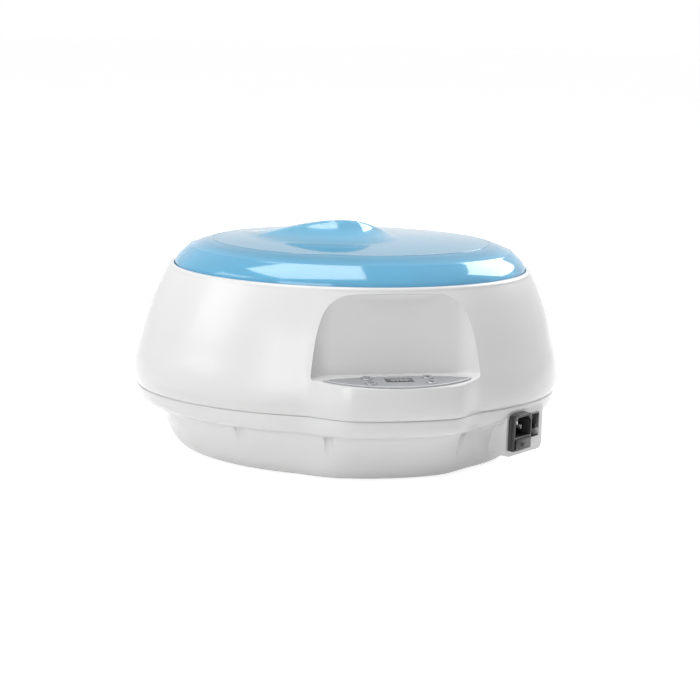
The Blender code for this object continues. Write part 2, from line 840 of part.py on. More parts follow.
def floor_cuts():
    mesh = bmesh.new()
    for x, y in foot_places():
        frame = Matrix.Translation((x, y, FLOOR_Z))
        turned_mesh(((FOOT_RADIUS + GAP, -OVERRUN), (FOOT_RADIUS + GAP, FOOT_POCKET)), frame, 20, mesh)
    for i in range(VENT_COUNT):
        y = BODY_Y + (i - (VENT_COUNT - 1) / 2) * VENT_PITCH
        size = (VENT_LENGTH, VENT_WIDTH, WALL + 2 * OVERRUN)
        x = VENT_X - VENT_LENGTH / 2 - POST_RADIUS
        block_mesh(size, (x, y, FLOOR_Z + WALL / 2), mesh=mesh)
    return mesh


def build_base():
    base = add_object("base", loft_mesh(base_side(0.0, FLOOR_Z)), white_plastic())
    frame = pad_frame()
    inward = PAD_ROOT - PAD_REACH
    pad = add_guide("pad", prism_mesh(pad_outline(0.0), inward, GAP, frame))
    boolean(base, pad, "UNION")
    cavity = add_guide("base_cavity", base_cavity())
    cut(cavity, boss_guides("base_bosses", FLOOR_Z, SEAM_Z + 2 * OVERRUN))
    cut(cavity, add_guide("floor_posts", post_mesh()))
    cut(cavity, add_guide("pad_surround", prism_mesh(pad_outline(-WALL), GAP - PAD_WALL, 2 * OVERRUN, frame)))
    cut(base, cavity)
    pocket = prism_mesh(pad_outline(WALL), inward + WALL, -PAD_WALL, frame)
    cut(base, add_guide("pad_pocket", pocket))
    cut(base, add_guide("pad_face", prism_mesh(pad_outline(-GAP), 0.0, 2 * OVERRUN, frame)))
    openings = bmesh.new()
    prism_mesh(inlet_outline(INLET_RIM - GAP), -PAD_WALL - OVERRUN, OVERRUN, frame, openings)
    prism_mesh(switch_corners(SWITCH_RIM - GAP), -PAD_WALL - OVERRUN, OVERRUN, frame, openings)
    cut(base, add_guide("pad_openings", openings))
    cut(base, screw_holes("screw_wells", WELL_RADIUS, -OVERRUN, WELL_TOP_Z))
    cut(base, screw_holes("base_screw_holes", SCREW_RADIUS + GAP, WELL_TOP_Z - OVERRUN, SEAM_Z + OVERRUN))
    cut(base, add_guide("floor_cuts", floor_cuts()))


def build_case_screws():
    under = WELL_TOP_Z - GAP
    profile = (
        (HEAD_RADIUS * 2 / 3, under - HEAD_HEIGHT),
        (HEAD_RADIUS, under - HEAD_HEIGHT / 2),
        (HEAD_RADIUS, under),
        (SCREW_RADIUS, under),
        (SCREW_RADIUS, under + SCREW_LENGTH),
    )
    for number, angle in enumerate(SCREW_ANGLES, 1):
        screw = add_object(f"case_screw_{number}", turned_mesh(profile, count=8), bare_metal())
        screw.location = screw_place(angle)


def build_feet():
    names = ("foot_left_front", "foot_left_back", "foot_right_front", "foot_right_back")
    top = FLOOR_Z + FOOT_POCKET - GAP
    profile = (
        (FOOT_RADIUS - FOOT_POCKET, 0.0),
        (FOOT_RADIUS, FOOT_POCKET),
        (FOOT_RADIUS, top),
    )
    for name, (x, y) in zip(names, foot_places()):
        foot = add_object(name, turned_mesh(profile, count=20), grey_rubber())
        foot.location = (x, y, 0.0)


def tank_top():
    """Heights of the gasket's top and of the tank's flange."""
    gasket = SEAT_Z + GAP + GASKET_THICK
    return gasket, gasket + GAP


def build_tank():
    under = tank_top()[1]
    top = under + TANK_THICK
    flange = (RIM_HALF_X - FLANGE_INSET, RIM_HALF_Y - FLANGE_INSET)
    mouth = (RIM_HALF_X - MOUTH_INSET - MOUTH_PLAY, RIM_HALF_Y - MOUTH_INSET - MOUTH_PLAY)
    floor = (mouth[0] - TANK_TAPER, mouth[1] - TANK_TAPER)

    def corner(inset, base_z):
        rings = []
        for turn in (0, 30, 60, 90):
            slide = TANK_CORNER * (1 - math.sin(math.radians(turn)))
            rise = TANK_CORNER * (1 - math.cos(math.radians(turn)))
            half_x = floor[0] - slide - inset
            half_y = floor[1] - slide - inset
            rings.append(plain_ring(half_x, half_y, base_z + rise, TANK_STEPS))
        return rings

    rings = corner(0.0, TANK_FLOOR_Z)
    rings.append(plain_ring(*mouth, under, TANK_STEPS))
    rings.append(plain_ring(*flange, under, TANK_STEPS))
    rings.append(plain_ring(*flange, top, TANK_STEPS))
    rings.append(plain_ring(mouth[0] - TANK_THICK, mouth[1] - TANK_THICK, top, TANK_STEPS))
    rings += reversed(corner(TANK_THICK, TANK_FLOOR_Z + TANK_THICK))
    add_object("tank", loft_mesh(rings), material("tank_metal", (0.62, 0.63, 0.65), 0.35, 0.9))


def build_gasket():
    outer = (RIM_HALF_X - FLANGE_INSET, RIM_HALF_Y - FLANGE_INSET)
    inner = (RIM_HALF_X - MOUTH_INSET, RIM_HALF_Y - MOUTH_INSET)
    low = SEAT_Z + GAP
    high = tank_top()[0]
    rings = [
        plain_ring(*outer, low, TANK_STEPS),
        plain_ring(*outer, high, TANK_STEPS),
        plain_ring(*inner, high, TANK_STEPS),
        plain_ring(*inner, low, TANK_STEPS),
    ]
    add_object("tank_gasket", loft_mesh(rings, closed=True), grey_rubber())


def tank_floor_half():
    inset = MOUTH_INSET + MOUTH_PLAY + TANK_TAPER
    return RIM_HALF_X - inset, RIM_HALF_Y - inset


def build_grille():
    """A slotted plate on four feet that keeps hands off the hot floor of the tank."""
    half_x, half_y = tank_floor_half()
    half_x -= TANK_THICK + GRILLE_PLAY
    half_y -= TANK_THICK + GRILLE_PLAY
    low = TANK_FLOOR_Z + TANK_THICK + GAP
    deck = low + GRILLE_FOOT
    plate = loft_mesh([
        plain_ring(half_x, half_y, deck, TANK_STEPS),
        plain_ring(half_x, half_y, deck + GRILLE_THICK, TANK_STEPS),
    ])
    grille = add_object("tank_grille", plate, white_plastic())
    feet = bmesh.new()
    for sx in (-1, 1):
        for sy in (-1, 1):
            place = Matrix.Translation((sx * half_x / 2, BODY_Y + sy * half_y / 2, 0.0))
            turned_mesh(((POST_RADIUS, low), (POST_RADIUS, deck + GRILLE_THICK / 2)), place, 10, feet)
    boolean(grille, add_guide("grille_feet", feet), "UNION")
    slots = bmesh.new()
    reach = int(half_y / GRILLE_PITCH) - 1
    for row in range(-reach, reach + 1):
        y = (row + 0.5) * GRILLE_PITCH
        if abs(y) > half_y - GRILLE_PITCH:
            continue
        span = half_x * math.sqrt(1 - (y / half_y) ** 2) - GRILLE_PITCH
        for sx in (-1, 1):
            length = span - GRILLE_SLOT
            size = (length, GRILLE_SLOT, GRILLE_THICK + 2 * OVERRUN)
            place = (sx * (GRILLE_SLOT + length / 2), BODY_Y + y, deck + GRILLE_THICK / 2)
            block_mesh(size, place, mesh=slots)
    cut(grille, add_guide("grille_slots", slots))


def build_heater():
    """A flat oval heating element, with a hole in its middle for the sensors."""
    half_x, half_y = tank_floor_half()
    outer = (half_x - HEATER_MARGIN, half_y - HEATER_MARGIN)
    inner = (HEATER_HOLE, HEATER_HOLE)
    high = TANK_FLOOR_Z - GAP
    low = high - HEATER_THICK
    rings = [
        plain_ring(*outer, low, TANK_STEPS),
        plain_ring(*outer, high, TANK_STEPS),
        plain_ring(*inner, high, TANK_STEPS),
        plain_ring(*inner, low, TANK_STEPS),
    ]
    finish = material("heater_red", (0.45, 0.12, 0.08), 0.6)
    add_object("heater_plate", loft_mesh(rings, closed=True), finish)


def clamp_top():
    return TANK_FLOOR_Z - GAP - HEATER_THICK - GAP


def build_sensors():
    """The thermal cut-out and the temperature sensor press on the tank's floor."""
    high = TANK_FLOOR_Z - GAP
    step = high - HEATER_THICK
    sensors = (
        ("thermal_cutout", -SENSOR_PLACE, CUTOUT_FLANGE_RADIUS, CUTOUT_RADIUS, CUTOUT_HEIGHT),
        ("temperature_sensor", SENSOR_PLACE, SENSOR_FLANGE_RADIUS, SENSOR_RADIUS, SENSOR_HEIGHT),
    )
    holes = bmesh.new()
    for name, x, flange, radius, height in sensors:
        profile = ((radius, step - height), (radius, step), (flange, step), (flange, high))
        finish = brass_metal() if name == "temperature_sensor" else black_plastic()
        sensor = add_object(name, turned_mesh(profile, count=16), finish)
        sensor.location = (x, BODY_Y, 0.0)
        frame = Matrix.Translation((x, BODY_Y, step))
        turned_mesh(((radius + GAP, -OVERRUN), (radius + GAP, OVERRUN / 2)), frame, 16, holes)
    size = (2 * CLAMP_HALF_X, 2 * CLAMP_HALF_Y, CLAMP_THICK)
    plate = block_mesh(size, (0.0, BODY_Y, clamp_top() - CLAMP_THICK / 2))
    clamp = add_object("sensor_clamp", plate, bare_metal())
    cut(clamp, add_guide("clamp_holes", holes))


def build_heat_shield():
    """A shallow metal tray on four posts, between the heater and the boards."""
    x, y = SHIELD_HALF_X, SHIELD_HALF_Y
    t = SHIELD_THICK
    rings = [
        plain_ring(x - SHIELD_RIM, y - SHIELD_RIM, SHIELD_Z, TANK_STEPS),
        plain_ring(x, y, SHIELD_Z + SHIELD_RIM, TANK_STEPS),
        plain_ring(x - t, y - t, SHIELD_Z + SHIELD_RIM, TANK_STEPS),
        plain_ring(x - SHIELD_RIM - t, y - SHIELD_RIM - t, SHIELD_Z + t, TANK_STEPS),
    ]
    shield = add_object("heat_shield", loft_mesh(rings), bare_metal())
    holes = bmesh.new()
    for sx in (-1, 1):
        for sy in (-1, 1):
            frame = Matrix.Translation((sx * SHIELD_POST_X, BODY_Y + sy * SHIELD_POST_Y, SHIELD_Z))
            turned_mesh(((PIN_RADIUS + GAP, -OVERRUN), (PIN_RADIUS + GAP, OVERRUN)), frame, 10, holes)
    cut(shield, add_guide("shield_holes", holes))


def power_board_top():
    return FLOOR_Z + WALL + POWER_POST_HEIGHT + GAP + BOARD_THICK


def terminal_x():
    """The terminal block stands at the board's right end, clear of its posts."""
    return POWER_X + POWER_HALF_X - 2 * POWER_POST_MARGIN - TERMINAL_SIZE[0] / 2


def build_power_board():
    top = power_board_top()
    size = (2 * POWER_HALF_X, 2 * POWER_HALF_Y, BOARD_THICK)
    plate = block_mesh(size, (POWER_X, POWER_Y, top - BOARD_THICK / 2))
    board = add_object("power_board", plate, material("green_board", (0.05, 0.25, 0.12), 0.5))
    holes = bmesh.new()
    for sx in (-1, 1):
        for sy in (-1, 1):
            x = POWER_X + sx * (POWER_HALF_X - POWER_POST_MARGIN)
            y = POWER_Y + sy * (POWER_HALF_Y - POWER_POST_MARGIN)
            frame = Matrix.Translation((x, y, top))
            turned_mesh(((PIN_RADIUS + GAP, -OVERRUN), (PIN_RADIUS + GAP, OVERRUN)), frame, 10, holes)
    cut(board, add_guide("power_board_holes", holes))
    left = POWER_X - POWER_HALF_X
    margin = 2 * POWER_POST_MARGIN
    parts = (
        ("transformer", TRANSFORMER_SIZE, left + margin + TRANSFORMER_SIZE[0] / 2, POWER_Y, "core_metal"),
        ("relay", RELAY_SIZE, POWER_X + RELAY_SIZE[0] / 2, POWER_Y + POST_RADIUS, "relay_blue"),
        ("terminal_block", TERMINAL_SIZE, terminal_x(), POWER_Y, "terminal_green"),
    )
    colors = {"core_metal": (0.2, 0.2, 0.2), "relay_blue": (0.1, 0.25, 0.6), "terminal_green": (0.1, 0.5, 0.2)}
    for name, size, x, y, finish in parts:
        centre_z = top + GAP + size[2] / 2
        mesh = block_mesh(size, (0.0, 0.0, 0.0))
        part = add_object(name, mesh, material(finish, colors[finish], 0.5))
        bevel = part.modifiers.new("edges", "BEVEL")
        bevel.width = GAP * 2
        bevel.segments = 1
        part.location = (x, y, centre_z)


def socket_low():
    return INLET_LOW_Z + INLET_HEIGHT - SOCKET_TOP_MARGIN - SOCKET_HEIGHT


def socket_outline():
    left = INLET_X - SOCKET_WIDTH / 2
    right = INLET_X + SOCKET_WIDTH / 2
    low = socket_low()
    high = low + SOCKET_HEIGHT
    c = SOCKET_CHAMFER
    return [(left, low), (right, low), (right, high - c), (right - c, high), (left + c, high), (left, high - c)]


def drawer_low():
    return INLET_LOW_Z + DRAWER_MARGIN


def drawer_outline(inset):
    half = DRAWER_WIDTH / 2 - inset
    low = drawer_low() + inset
    high = drawer_low() + DRAWER_HEIGHT - inset
    return [(INLET_X - half, low), (INLET_X + half, low), (INLET_X + half, high), (INLET_X - half, high)]


def pin_places():
    middle = socket_low() + SOCKET_HEIGHT / 2
    return (
        ("inlet_pin_live", INLET_X - PIN_SPREAD, middle - PIN_LIFT),
        ("inlet_pin_earth", INLET_X, middle + PIN_LIFT),
        ("inlet_pin_neutral", INLET_X + PIN_SPREAD, middle - PIN_LIFT),
    )


def pin_block(grow):
    mesh = bmesh.new()
    low = -INLET_DEPTH - PIN_TAIL
    high = INLET_FACE - PIN_RECESS
    for _, x, y in pin_places():
        size = (PIN_THICK + 2 * grow, PIN_WIDE + 2 * grow, high - low + 2 * grow)
        block_mesh(size, (x, y, (high + low) / 2), mesh=mesh)
    return mesh


def build_inlet():
    frame = pad_frame()
    face = inlet_outline(0.0)
    waist = inlet_outline(INLET_RIM / 2)
    body = inlet_outline(INLET_RIM)
    grooves = [INLET_FACE * share for share in INLET_GROOVE_SHARES]
    levels = (
        (body, -INLET_DEPTH),
        (body, GAP),
        (face, GAP),
        (face, grooves[0]),
        (waist, grooves[1]),
        (waist, grooves[2]),
        (face, grooves[3]),
        (face, INLET_FACE - INLET_RIM / 2),
        (waist, INLET_FACE),
    )
    rings = [[Vector((x, y, z)) for x, y in outline] for outline, z in levels]
    inlet = add_object("inlet_housing", loft_mesh(rings), black_plastic())
    inlet.matrix_world = frame
    socket = prism_mesh(socket_outline(), INLET_FACE - SOCKET_DEPTH, INLET_FACE + OVERRUN)
    drawer = prism_mesh(drawer_outline(0.0), INLET_FACE - DRAWER_DEPTH - GAP, INLET_FACE + OVERRUN)
    pins = pin_block(GAP)
    for name, mesh in (("inlet_socket", socket), ("drawer_slot", drawer), ("pin_slots", pins)):
        guide = add_guide(name, mesh)
        guide.matrix_world = frame
        cut(inlet, guide)
    low = -INLET_DEPTH - PIN_TAIL
    high = INLET_FACE - PIN_RECESS
    for name, x, y in pin_places():
        rings = [
            rectangle(PIN_THICK / 2, PIN_WIDE / 2, low),
            rectangle(PIN_THICK / 2, PIN_WIDE / 2, high - PIN_THICK / 2),
            rectangle(PIN_THICK / 4, PIN_WIDE / 2 - PIN_THICK / 4, high),
        ]
        pin = add_object(name, loft_mesh(rings), bare_metal())
        pin.matrix_world = frame @ Matrix.Translation((x, y, 0.0))


def build_fuse_drawer():
    """A drawer that pulls straight out of the inlet and carries the fuse."""
    frame = pad_frame()
    tray = drawer_outline(GAP)
    plate = drawer_outline(-INLET_RIM / 2)
    rings = [
        [Vector((x, y, INLET_FACE - DRAWER_DEPTH)) for x, y in tray],
        [Vector((x, y, INLET_FACE + GAP)) for x, y in tray],
        [Vector((x, y, INLET_FACE + GAP)) for x, y in plate],
        [Vector((x, y, INLET_FACE + DRAWER_PLATE)) for x, y in plate],
    ]
    drawer = add_object("fuse_drawer", loft_mesh(rings), black_plastic())
    drawer.matrix_world = frame
    middle = drawer_low() + DRAWER_HEIGHT / 2
    depth = INLET_FACE - DRAWER_DEPTH / 2
    well = (FUSE_LENGTH + 2 * GAP, DRAWER_HEIGHT, 2 * FUSE_RADIUS + 2 * GAP)
    lift = middle - FUSE_RADIUS - GAP + DRAWER_HEIGHT / 2
    guide = add_guide("fuse_well", block_mesh(well, (INLET_X, lift, depth)))
    guide.matrix_world = frame
    cut(drawer, guide)
    grip = rectangle(FUSE_CAP / 2, DRAWER_HEIGHT / 5, INLET_FACE + DRAWER_PLATE / 2, (INLET_X, middle))
    outer = rectangle(FUSE_CAP / 2, DRAWER_HEIGHT / 5, INLET_FACE + DRAWER_PLATE * 2, (INLET_X, middle))
    tab = add_guide("drawer_tab", loft_mesh([grip, outer]))
    tab.matrix_world = frame
    boolean(drawer, tab, "UNION")
    profile = (
        (FUSE_RADIUS, -FUSE_LENGTH / 2),
        (FUSE_RADIUS, -FUSE_LENGTH / 2 + FUSE_CAP),
        (FUSE_RADIUS - GAP, -FUSE_LENGTH / 2 + FUSE_CAP),
        (FUSE_RADIUS - GAP, FUSE_LENGTH / 2 - FUSE_CAP),
        (FUSE_RADIUS, FUSE_LENGTH / 2 - FUSE_CAP),
        (FUSE_RADIUS, FUSE_LENGTH / 2),
    )
    fuse = add_object("fuse", turned_mesh(profile, count=12), bare_metal())
    spot = Matrix.Translation((INLET_X, middle, depth)) @ Matrix.Rotation(math.radians(90), 4, "Y")
    fuse.matrix_world = frame @ spot


def switch_centre():
    return switch_left() + SWITCH_WIDTH / 2, SWITCH_LOW_Z + SWITCH_HEIGHT / 2


def rocker_outline(grow):
    """The rocker seen along its pivot: two flat faces on top of a round belly."""
    half = ROCKER_HEIGHT / 2 + grow
    sag = half * math.tan(ROCKER_TILT)
    points = [(-half, sag + grow), (0.0, grow), (half, sag + grow)]
    steps = 10
    belly = []
    for step in range(steps + 1):
        turn = math.pi * step / steps
        x = half * math.cos(turn)
        z = -(ROCKER_BELLY + grow) * math.sin(turn) ** ROCKER_BELLY_SHARE
        belly.append((x, min(z, sag) if 0 < step < steps else 0.0))
    return points + belly


def build_switch():
    frame = pad_frame()
    x, y = switch_centre()
    outer = switch_corners(0.0)
    body = switch_corners(SWITCH_RIM)
    bevelled = switch_corners(GAP * 2)
    levels = (
        (body, -SWITCH_DEPTH),
        (body, GAP),
        (outer, GAP),
        (outer, SWITCH_FACE - GAP * 2),
        (bevelled, SWITCH_FACE),
    )
    rings = [[Vector((px, py, z)) for px, py in outline] for outline, z in levels]
    switch = add_object("switch_housing", loft_mesh(rings), black_plastic())
    switch.matrix_world = frame
    room = ROCKER_BELLY + ROCKER_HEIGHT / 4
    size = (ROCKER_WIDTH + 2 * GAP, ROCKER_HEIGHT + 4 * GAP + 2 * ROCKER_PIVOT, room + OVERRUN)
    well = add_guide("rocker_well", block_mesh(size, (x, y, SWITCH_FACE + OVERRUN - size[2] / 2)))
    well.matrix_world = frame
    cut(switch, well)
    profile = rocker_outline(0.0)
    half = ROCKER_WIDTH / 2
    rings = [[Vector((side, py, pz)) for py, pz in profile] for side in (-half, half)]
    rocker = add_object("switch_rocker", loft_mesh(rings), black_plastic())
    spot = Matrix.Translation((x, y, SWITCH_FACE - ROCKER_PIVOT))
    rocker.matrix_world = frame @ spot @ Matrix.Rotation(-ROCKER_TILT, 4, "X")


def handle_rise(x, y):
    """The wave that stands on the lid: long along X, hollow in front and gentle behind."""
    along = abs(x - HANDLE_X) / (HANDLE_LEFT if x < HANDLE_X else HANDLE_RIGHT)
    ridge_y = HANDLE_RIDGE_Y + HANDLE_BOW * along**2
    behind = y > ridge_y
    across = abs(y - ridge_y) / (HANDLE_BACK if behind else HANDLE_FRONT)
    if along >= 1 or across >= 1:
        return 0.0
    ridge = (1 - along**2) ** HANDLE_FALL_SHARE
    if behind:
        face = (1 + math.cos(math.pi * across)) / 2
    else:
        face = (1 - across) ** HANDLE_HOLLOW_SHARE
    return HANDLE_RISE * ridge * face


def lid_levels():
    """Inset from the lid's edge and height above its seat, from the edge to the crown."""
    levels = [(0.0, 0.0), (0.0, LID_EDGE_RISE)]
    for inward, rise in LID_SKIRT_SHARES:
        levels.append((inward * LID_SKIRT_INSET, lerp(LID_EDGE_RISE, LID_SKIRT_RISE, rise)))
    for inward, rise in LID_SLOPE_SHARES:
        inset = lerp(LID_SKIRT_INSET, LID_PLATEAU_INSET, inward)
        levels.append((inset, lerp(LID_SKIRT_RISE, LID_PLATEAU_RISE, rise)))
    middle = RIM_HALF_Y - RIM_LIP - LID_PLAY
    for share in LID_CROWN_SHARES:
        inset = lerp(LID_PLATEAU_INSET, middle, share)
        rise = lerp(LID_PLATEAU_RISE, LID_CROWN_RISE, 1 - (1 - share) ** 2)
        levels.append((inset, rise))
    return levels


def lid_ring(inset, rise, drop):
    half_x = RIM_HALF_X - RIM_LIP - LID_PLAY - inset
    half_y = RIM_HALF_Y - RIM_LIP - LID_PLAY - inset
    ring = []
    for point in plain_ring(half_x, half_y, 0.0, LID_STEPS):
        lift = handle_rise(point.x, point.y - BODY_Y)
        ring.append(Vector((point.x, point.y, SEAT_Z + GAP + rise + lift - drop)))
    return ring


def build_lid():
    """A clear blue shell that sits inside the rim, with a wave to lift it by."""
    levels = lid_levels()
    middle = RIM_HALF_Y - RIM_LIP - LID_PLAY
    rings = [lid_ring(inset, rise, 0.0) for inset, rise in levels]
    inner = []
    for inset, rise in levels[1:]:
        inset = min(inset + LID_THICK, middle - LID_THICK / 2)
        inner.append(lid_ring(inset, rise, LID_THICK))
    inner.insert(0, lid_ring(LID_THICK, 0.0, 0.0))
    rings = rings + list(reversed(inner))
    mesh = loft_shell(rings, len(levels))
    add_object("lid", mesh, blue_plastic())


def cap_oval(mesh, row, upward):
    """Closes a slim oval with a strip of faces that pairs its two long sides."""
    count = len(row)
    for i in range(count // 2):
        face = [row[i], row[i + 1], row[count - 1 - i], row[(count - i) % count]]
        face = [vert for place, vert in enumerate(face) if vert not in face[:place]]
        if len(face) > 2:
            mesh.faces.new(face if upward else list(reversed(face)))


def loft_shell(rings, turn):
    """Skins an outer run of rings and an inner run that comes back, capped at the crown."""
    mesh = bmesh.new()
    rows = [[mesh.verts.new(point) for point in ring] for ring in rings]
    count = len(rows[0])
    for index, low in enumerate(rows):
        high = rows[(index + 1) % len(rows)]
        if index == turn - 1:
            cap_oval(mesh, low, True)
            cap_oval(mesh, high, False)
            continue
        for i in range(count):
            mesh.faces.new((low[i - 1], low[i], high[i], high[i - 1]))
    return mesh


def smooth_route(points, steps):
    """Points along a smooth curve through a route, whose first and last legs stay straight."""
    route = [Vector(point) for point in points]
    path = [route[0]]
    for before, here, after, beyond in zip(route, route[1:], route[2:], route[3:]):
        for step in range(steps):
            t = step / steps
            bend = (before * 2 - here * 5 + after * 4 - beyond) * t**2
            twist = (here * 3 - before - after * 3 + beyond) * t**3
            path.append((here * 2 + (after - before) * t + bend + twist) / 2)
    return path + route[-2:]


def build_lead(name, points):
    """An insulated lead along a route, with flat ends."""
    line = bpy.data.curves.new(name, "CURVE")
    line.dimensions = "3D"
    line.bevel_depth = LEAD_RADIUS
    line.bevel_resolution = 1
    line.use_fill_caps = True
    path = smooth_route(points, LEAD_STEPS)
    spline = line.splines.new("POLY")
    spline.points.add(len(path) - 1)
    for spot, point in zip(spline.points, path):
        spot.co = (*point, 1.0)
    line.materials.append(material("lead_sleeve", (0.30, 0.16, 0.08), 0.5))
    bpy.context.collection.objects.link(bpy.data.objects.new(name, line))


def build_mains_leads():
    """From the inlet's pins to the switch, the terminal block and the tank."""
    frame = pad_frame()
    pins = {name: (x, y) for name, x, y in pin_places()}
    tail = -INLET_DEPTH - PIN_TAIL - GAP
    bend = tail - LEAD_BEND
    switch_x, switch_y = switch_centre()
    switch_back = -SWITCH_DEPTH - GAP
    spread = SWITCH_HEIGHT / 4
    block_x = terminal_x() + TERMINAL_SIZE[0] / 2 + GAP
    block_z = power_board_top() + GAP + TERMINAL_SIZE[2] / 2
    row = TERMINAL_SIZE[1] / 4

    live_x, live_y = pins["inlet_pin_live"]
    under = live_y - PIN_WIDE - LEAD_BEND
    route = [
        (live_x, live_y, tail),
        (live_x, live_y, bend),
        ((live_x + switch_x) / 2, under, bend - LEAD_BEND),
        (switch_x, switch_y + spread, bend),
        (switch_x, switch_y + spread, switch_back),
    ]
    build_lead("lead_live", placed([Vector(point) for point in route], frame))

    start = frame @ Vector((*pins["inlet_pin_neutral"], tail))
    inside = frame @ Vector((*pins["inlet_pin_neutral"], bend))
    end = Vector((block_x, POWER_Y - row, block_z))
    run = end + Vector((LEAD_BEND, 0.0, 0.0))
    build_lead("lead_neutral", [start, inside, inside.lerp(run, ROUTE_SHARE), run, end])

    start = frame @ Vector((switch_x, switch_y - spread, switch_back))
    inside = frame @ Vector((switch_x, switch_y - spread, switch_back - LEAD_BEND))
    end = Vector((block_x, POWER_Y + row, block_z))
    run = end + Vector((LEAD_BEND, 0.0, 0.0))
    round_post = Vector((LEAD_BEND, LEAD_BEND, 0.0))
    build_lead("lead_switched", [start, inside, inside.lerp(run, ROUTE_SHARE) + round_post, run, end])


def build_inner_leads():
    """From the inlet to the tank, from the terminal block to the heater, and between the boards."""
    out = pad_frame().to_3x3() @ Vector((0.0, 0.0, 1.0))
    earth = {name: (x, y) for name, x, y in pin_places()}["inlet_pin_earth"]
    tail = -INLET_DEPTH - PIN_TAIL - GAP
    start = pad_frame() @ Vector((*earth, tail))
    inside = start - out * LEAD_BEND
    half_x, half_y = tank_floor_half()
    reach = math.hypot(half_x * out.x, half_y * out.y)
    height = TANK_FLOOR_Z + TANK_CORNER
    taper = TANK_TAPER * TANK_CORNER / (SEAT_Z - TANK_FLOOR_Z)
    seat = Vector((half_x**2 * out.x / reach, BODY_Y + half_y**2 * out.y / reach, height))
    seat += out * (taper + 2 * GAP)
    build_lead("lead_earth", [start, inside, seat + out * LEAD_BEND, seat])

    half_x, half_y = half_x - HEATER_MARGIN, half_y - HEATER_MARGIN
    block_y = POWER_Y + TERMINAL_SIZE[1] / 2 + GAP
    block_z = power_board_top() + GAP + TERMINAL_SIZE[2] / 2
    side_x = terminal_x() + LEAD_BEND
    edge = BODY_Y + half_y * math.sqrt(1 - (side_x / half_x) ** 2) + 2 * GAP
    beyond = BODY_Y + SHIELD_HALF_Y + LEAD_BEND
    level = TANK_FLOOR_Z - GAP - HEATER_THICK / 2
    build_lead("lead_heater", [
        (terminal_x(), block_y, block_z),
        (terminal_x(), block_y + LEAD_BEND, block_z),
        (side_x, beyond, (block_z + SHIELD_Z) / 2),
        (side_x, beyond, SHIELD_Z + SHIELD_RIM),
        (side_x, edge + LEAD_BEND, level),
        (side_x, edge, level),
    ])

    frame = ledge_frame()
    middle = key_places()[1]
    back = middle + BOARD_DEPTH / 2 + GAP
    level = -BOARD_DROP - GAP - BOARD_THICK / 2
    front = POWER_Y - POWER_HALF_Y - GAP
    board_z = power_board_top() - BOARD_THICK / 2
    tank_front = BODY_Y - tank_floor_half()[1]
    shield_front = min(BODY_Y - SHIELD_HALF_Y, tank_front) - LEAD_BEND
    build_lead("lead_control", [
        frame @ Vector((0.0, back, level)),
        frame @ Vector((0.0, back + LEAD_BEND, level - LEAD_RADIUS)),
        Vector((0.0, shield_front - LEAD_BEND, SEAM_Z)),
        Vector((0.0, shield_front, SHIELD_Z - LEAD_BEND)),
        Vector((0.0, front - LEAD_BEND, board_z + LEAD_RADIUS)),
        Vector((0.0, front, board_z)),
    ])


def main():
    clear_scene()
    build_base()
    build_feet()
    build_upper_housing()
    build_case_screws()
    build_control_overlay()
    build_keys()
    build_display()
    build_control_board()
    build_tank()
    build_gasket()
    build_grille()
    build_heater()
    build_sensors()
    build_heat_shield()
    build_power_board()
    build_inlet()
    build_fuse_drawer()
    build_switch()
    build_lid()
    build_mains_leads()
    build_inner_leads()


main()
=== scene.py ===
"""Looks of the oval paraffin wax bath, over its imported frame. Metres, +Z up."""

import json
import math

import bmesh
import bpy
from mathutils import Matrix, Vector


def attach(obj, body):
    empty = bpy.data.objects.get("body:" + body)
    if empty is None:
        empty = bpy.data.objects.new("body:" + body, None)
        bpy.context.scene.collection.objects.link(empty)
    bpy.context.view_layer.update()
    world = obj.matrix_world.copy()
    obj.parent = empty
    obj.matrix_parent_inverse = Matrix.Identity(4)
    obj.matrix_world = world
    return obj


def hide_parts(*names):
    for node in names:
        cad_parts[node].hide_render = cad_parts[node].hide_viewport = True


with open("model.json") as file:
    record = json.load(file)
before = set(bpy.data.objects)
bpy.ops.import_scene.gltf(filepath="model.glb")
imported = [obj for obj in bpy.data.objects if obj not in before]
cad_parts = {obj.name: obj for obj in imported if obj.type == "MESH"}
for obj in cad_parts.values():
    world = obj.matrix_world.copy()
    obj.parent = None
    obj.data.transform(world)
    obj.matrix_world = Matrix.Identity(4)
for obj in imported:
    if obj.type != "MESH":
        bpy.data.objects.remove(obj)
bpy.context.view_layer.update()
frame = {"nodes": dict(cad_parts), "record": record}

# Fits and walls
GAP = 0.0003
OVERRUN = 0.004
WALL = 0.0025

# Body: half sizes of its ovals, and the heights they lie at
FOOT_HALF_X = 0.142
FOOT_HALF_Y = 0.134
SEAM_HALF_X = 0.1865
SEAM_HALF_Y = 0.157
WAIST_HALF_X = 0.1900
WAIST_HALF_Y = 0.160
RIM_HALF_X = 0.160
RIM_HALF_Y = 0.1375
FLOOR_Z = 0.0025
SEAM_Z = 0.057
RIM_Z = 0.161
RIM_ROUND = 0.003
RIM_TURNS = range(15, 91, 15)
RIM_LIP = 0.0045
SEAT_DROP = 0.004
LID_PLAY = 0.0008
SEAM_ROUND = 0.0006

# Console: a swell at the front of the body, with a recess cut into it
SWELL_DEPTH = 0.016
SWELL_FLAT_HALF = 0.043
SWELL_FLANK_HALF = 0.080
RECESS_FLOOR_HALF = 0.0755
RECESS_TOP_HALF = 0.0730
RECESS_TOP_Z = 0.1575
RECESS_BACK_LIP = 0.003
RECESS_BLEND = 0.022
RECESS_TOP_ROUND = 0.015
RECESS_FLOOR_ROUND = 0.004
LEDGE_FRONT_Z = 0.084
LEDGE_TILT = math.radians(7)

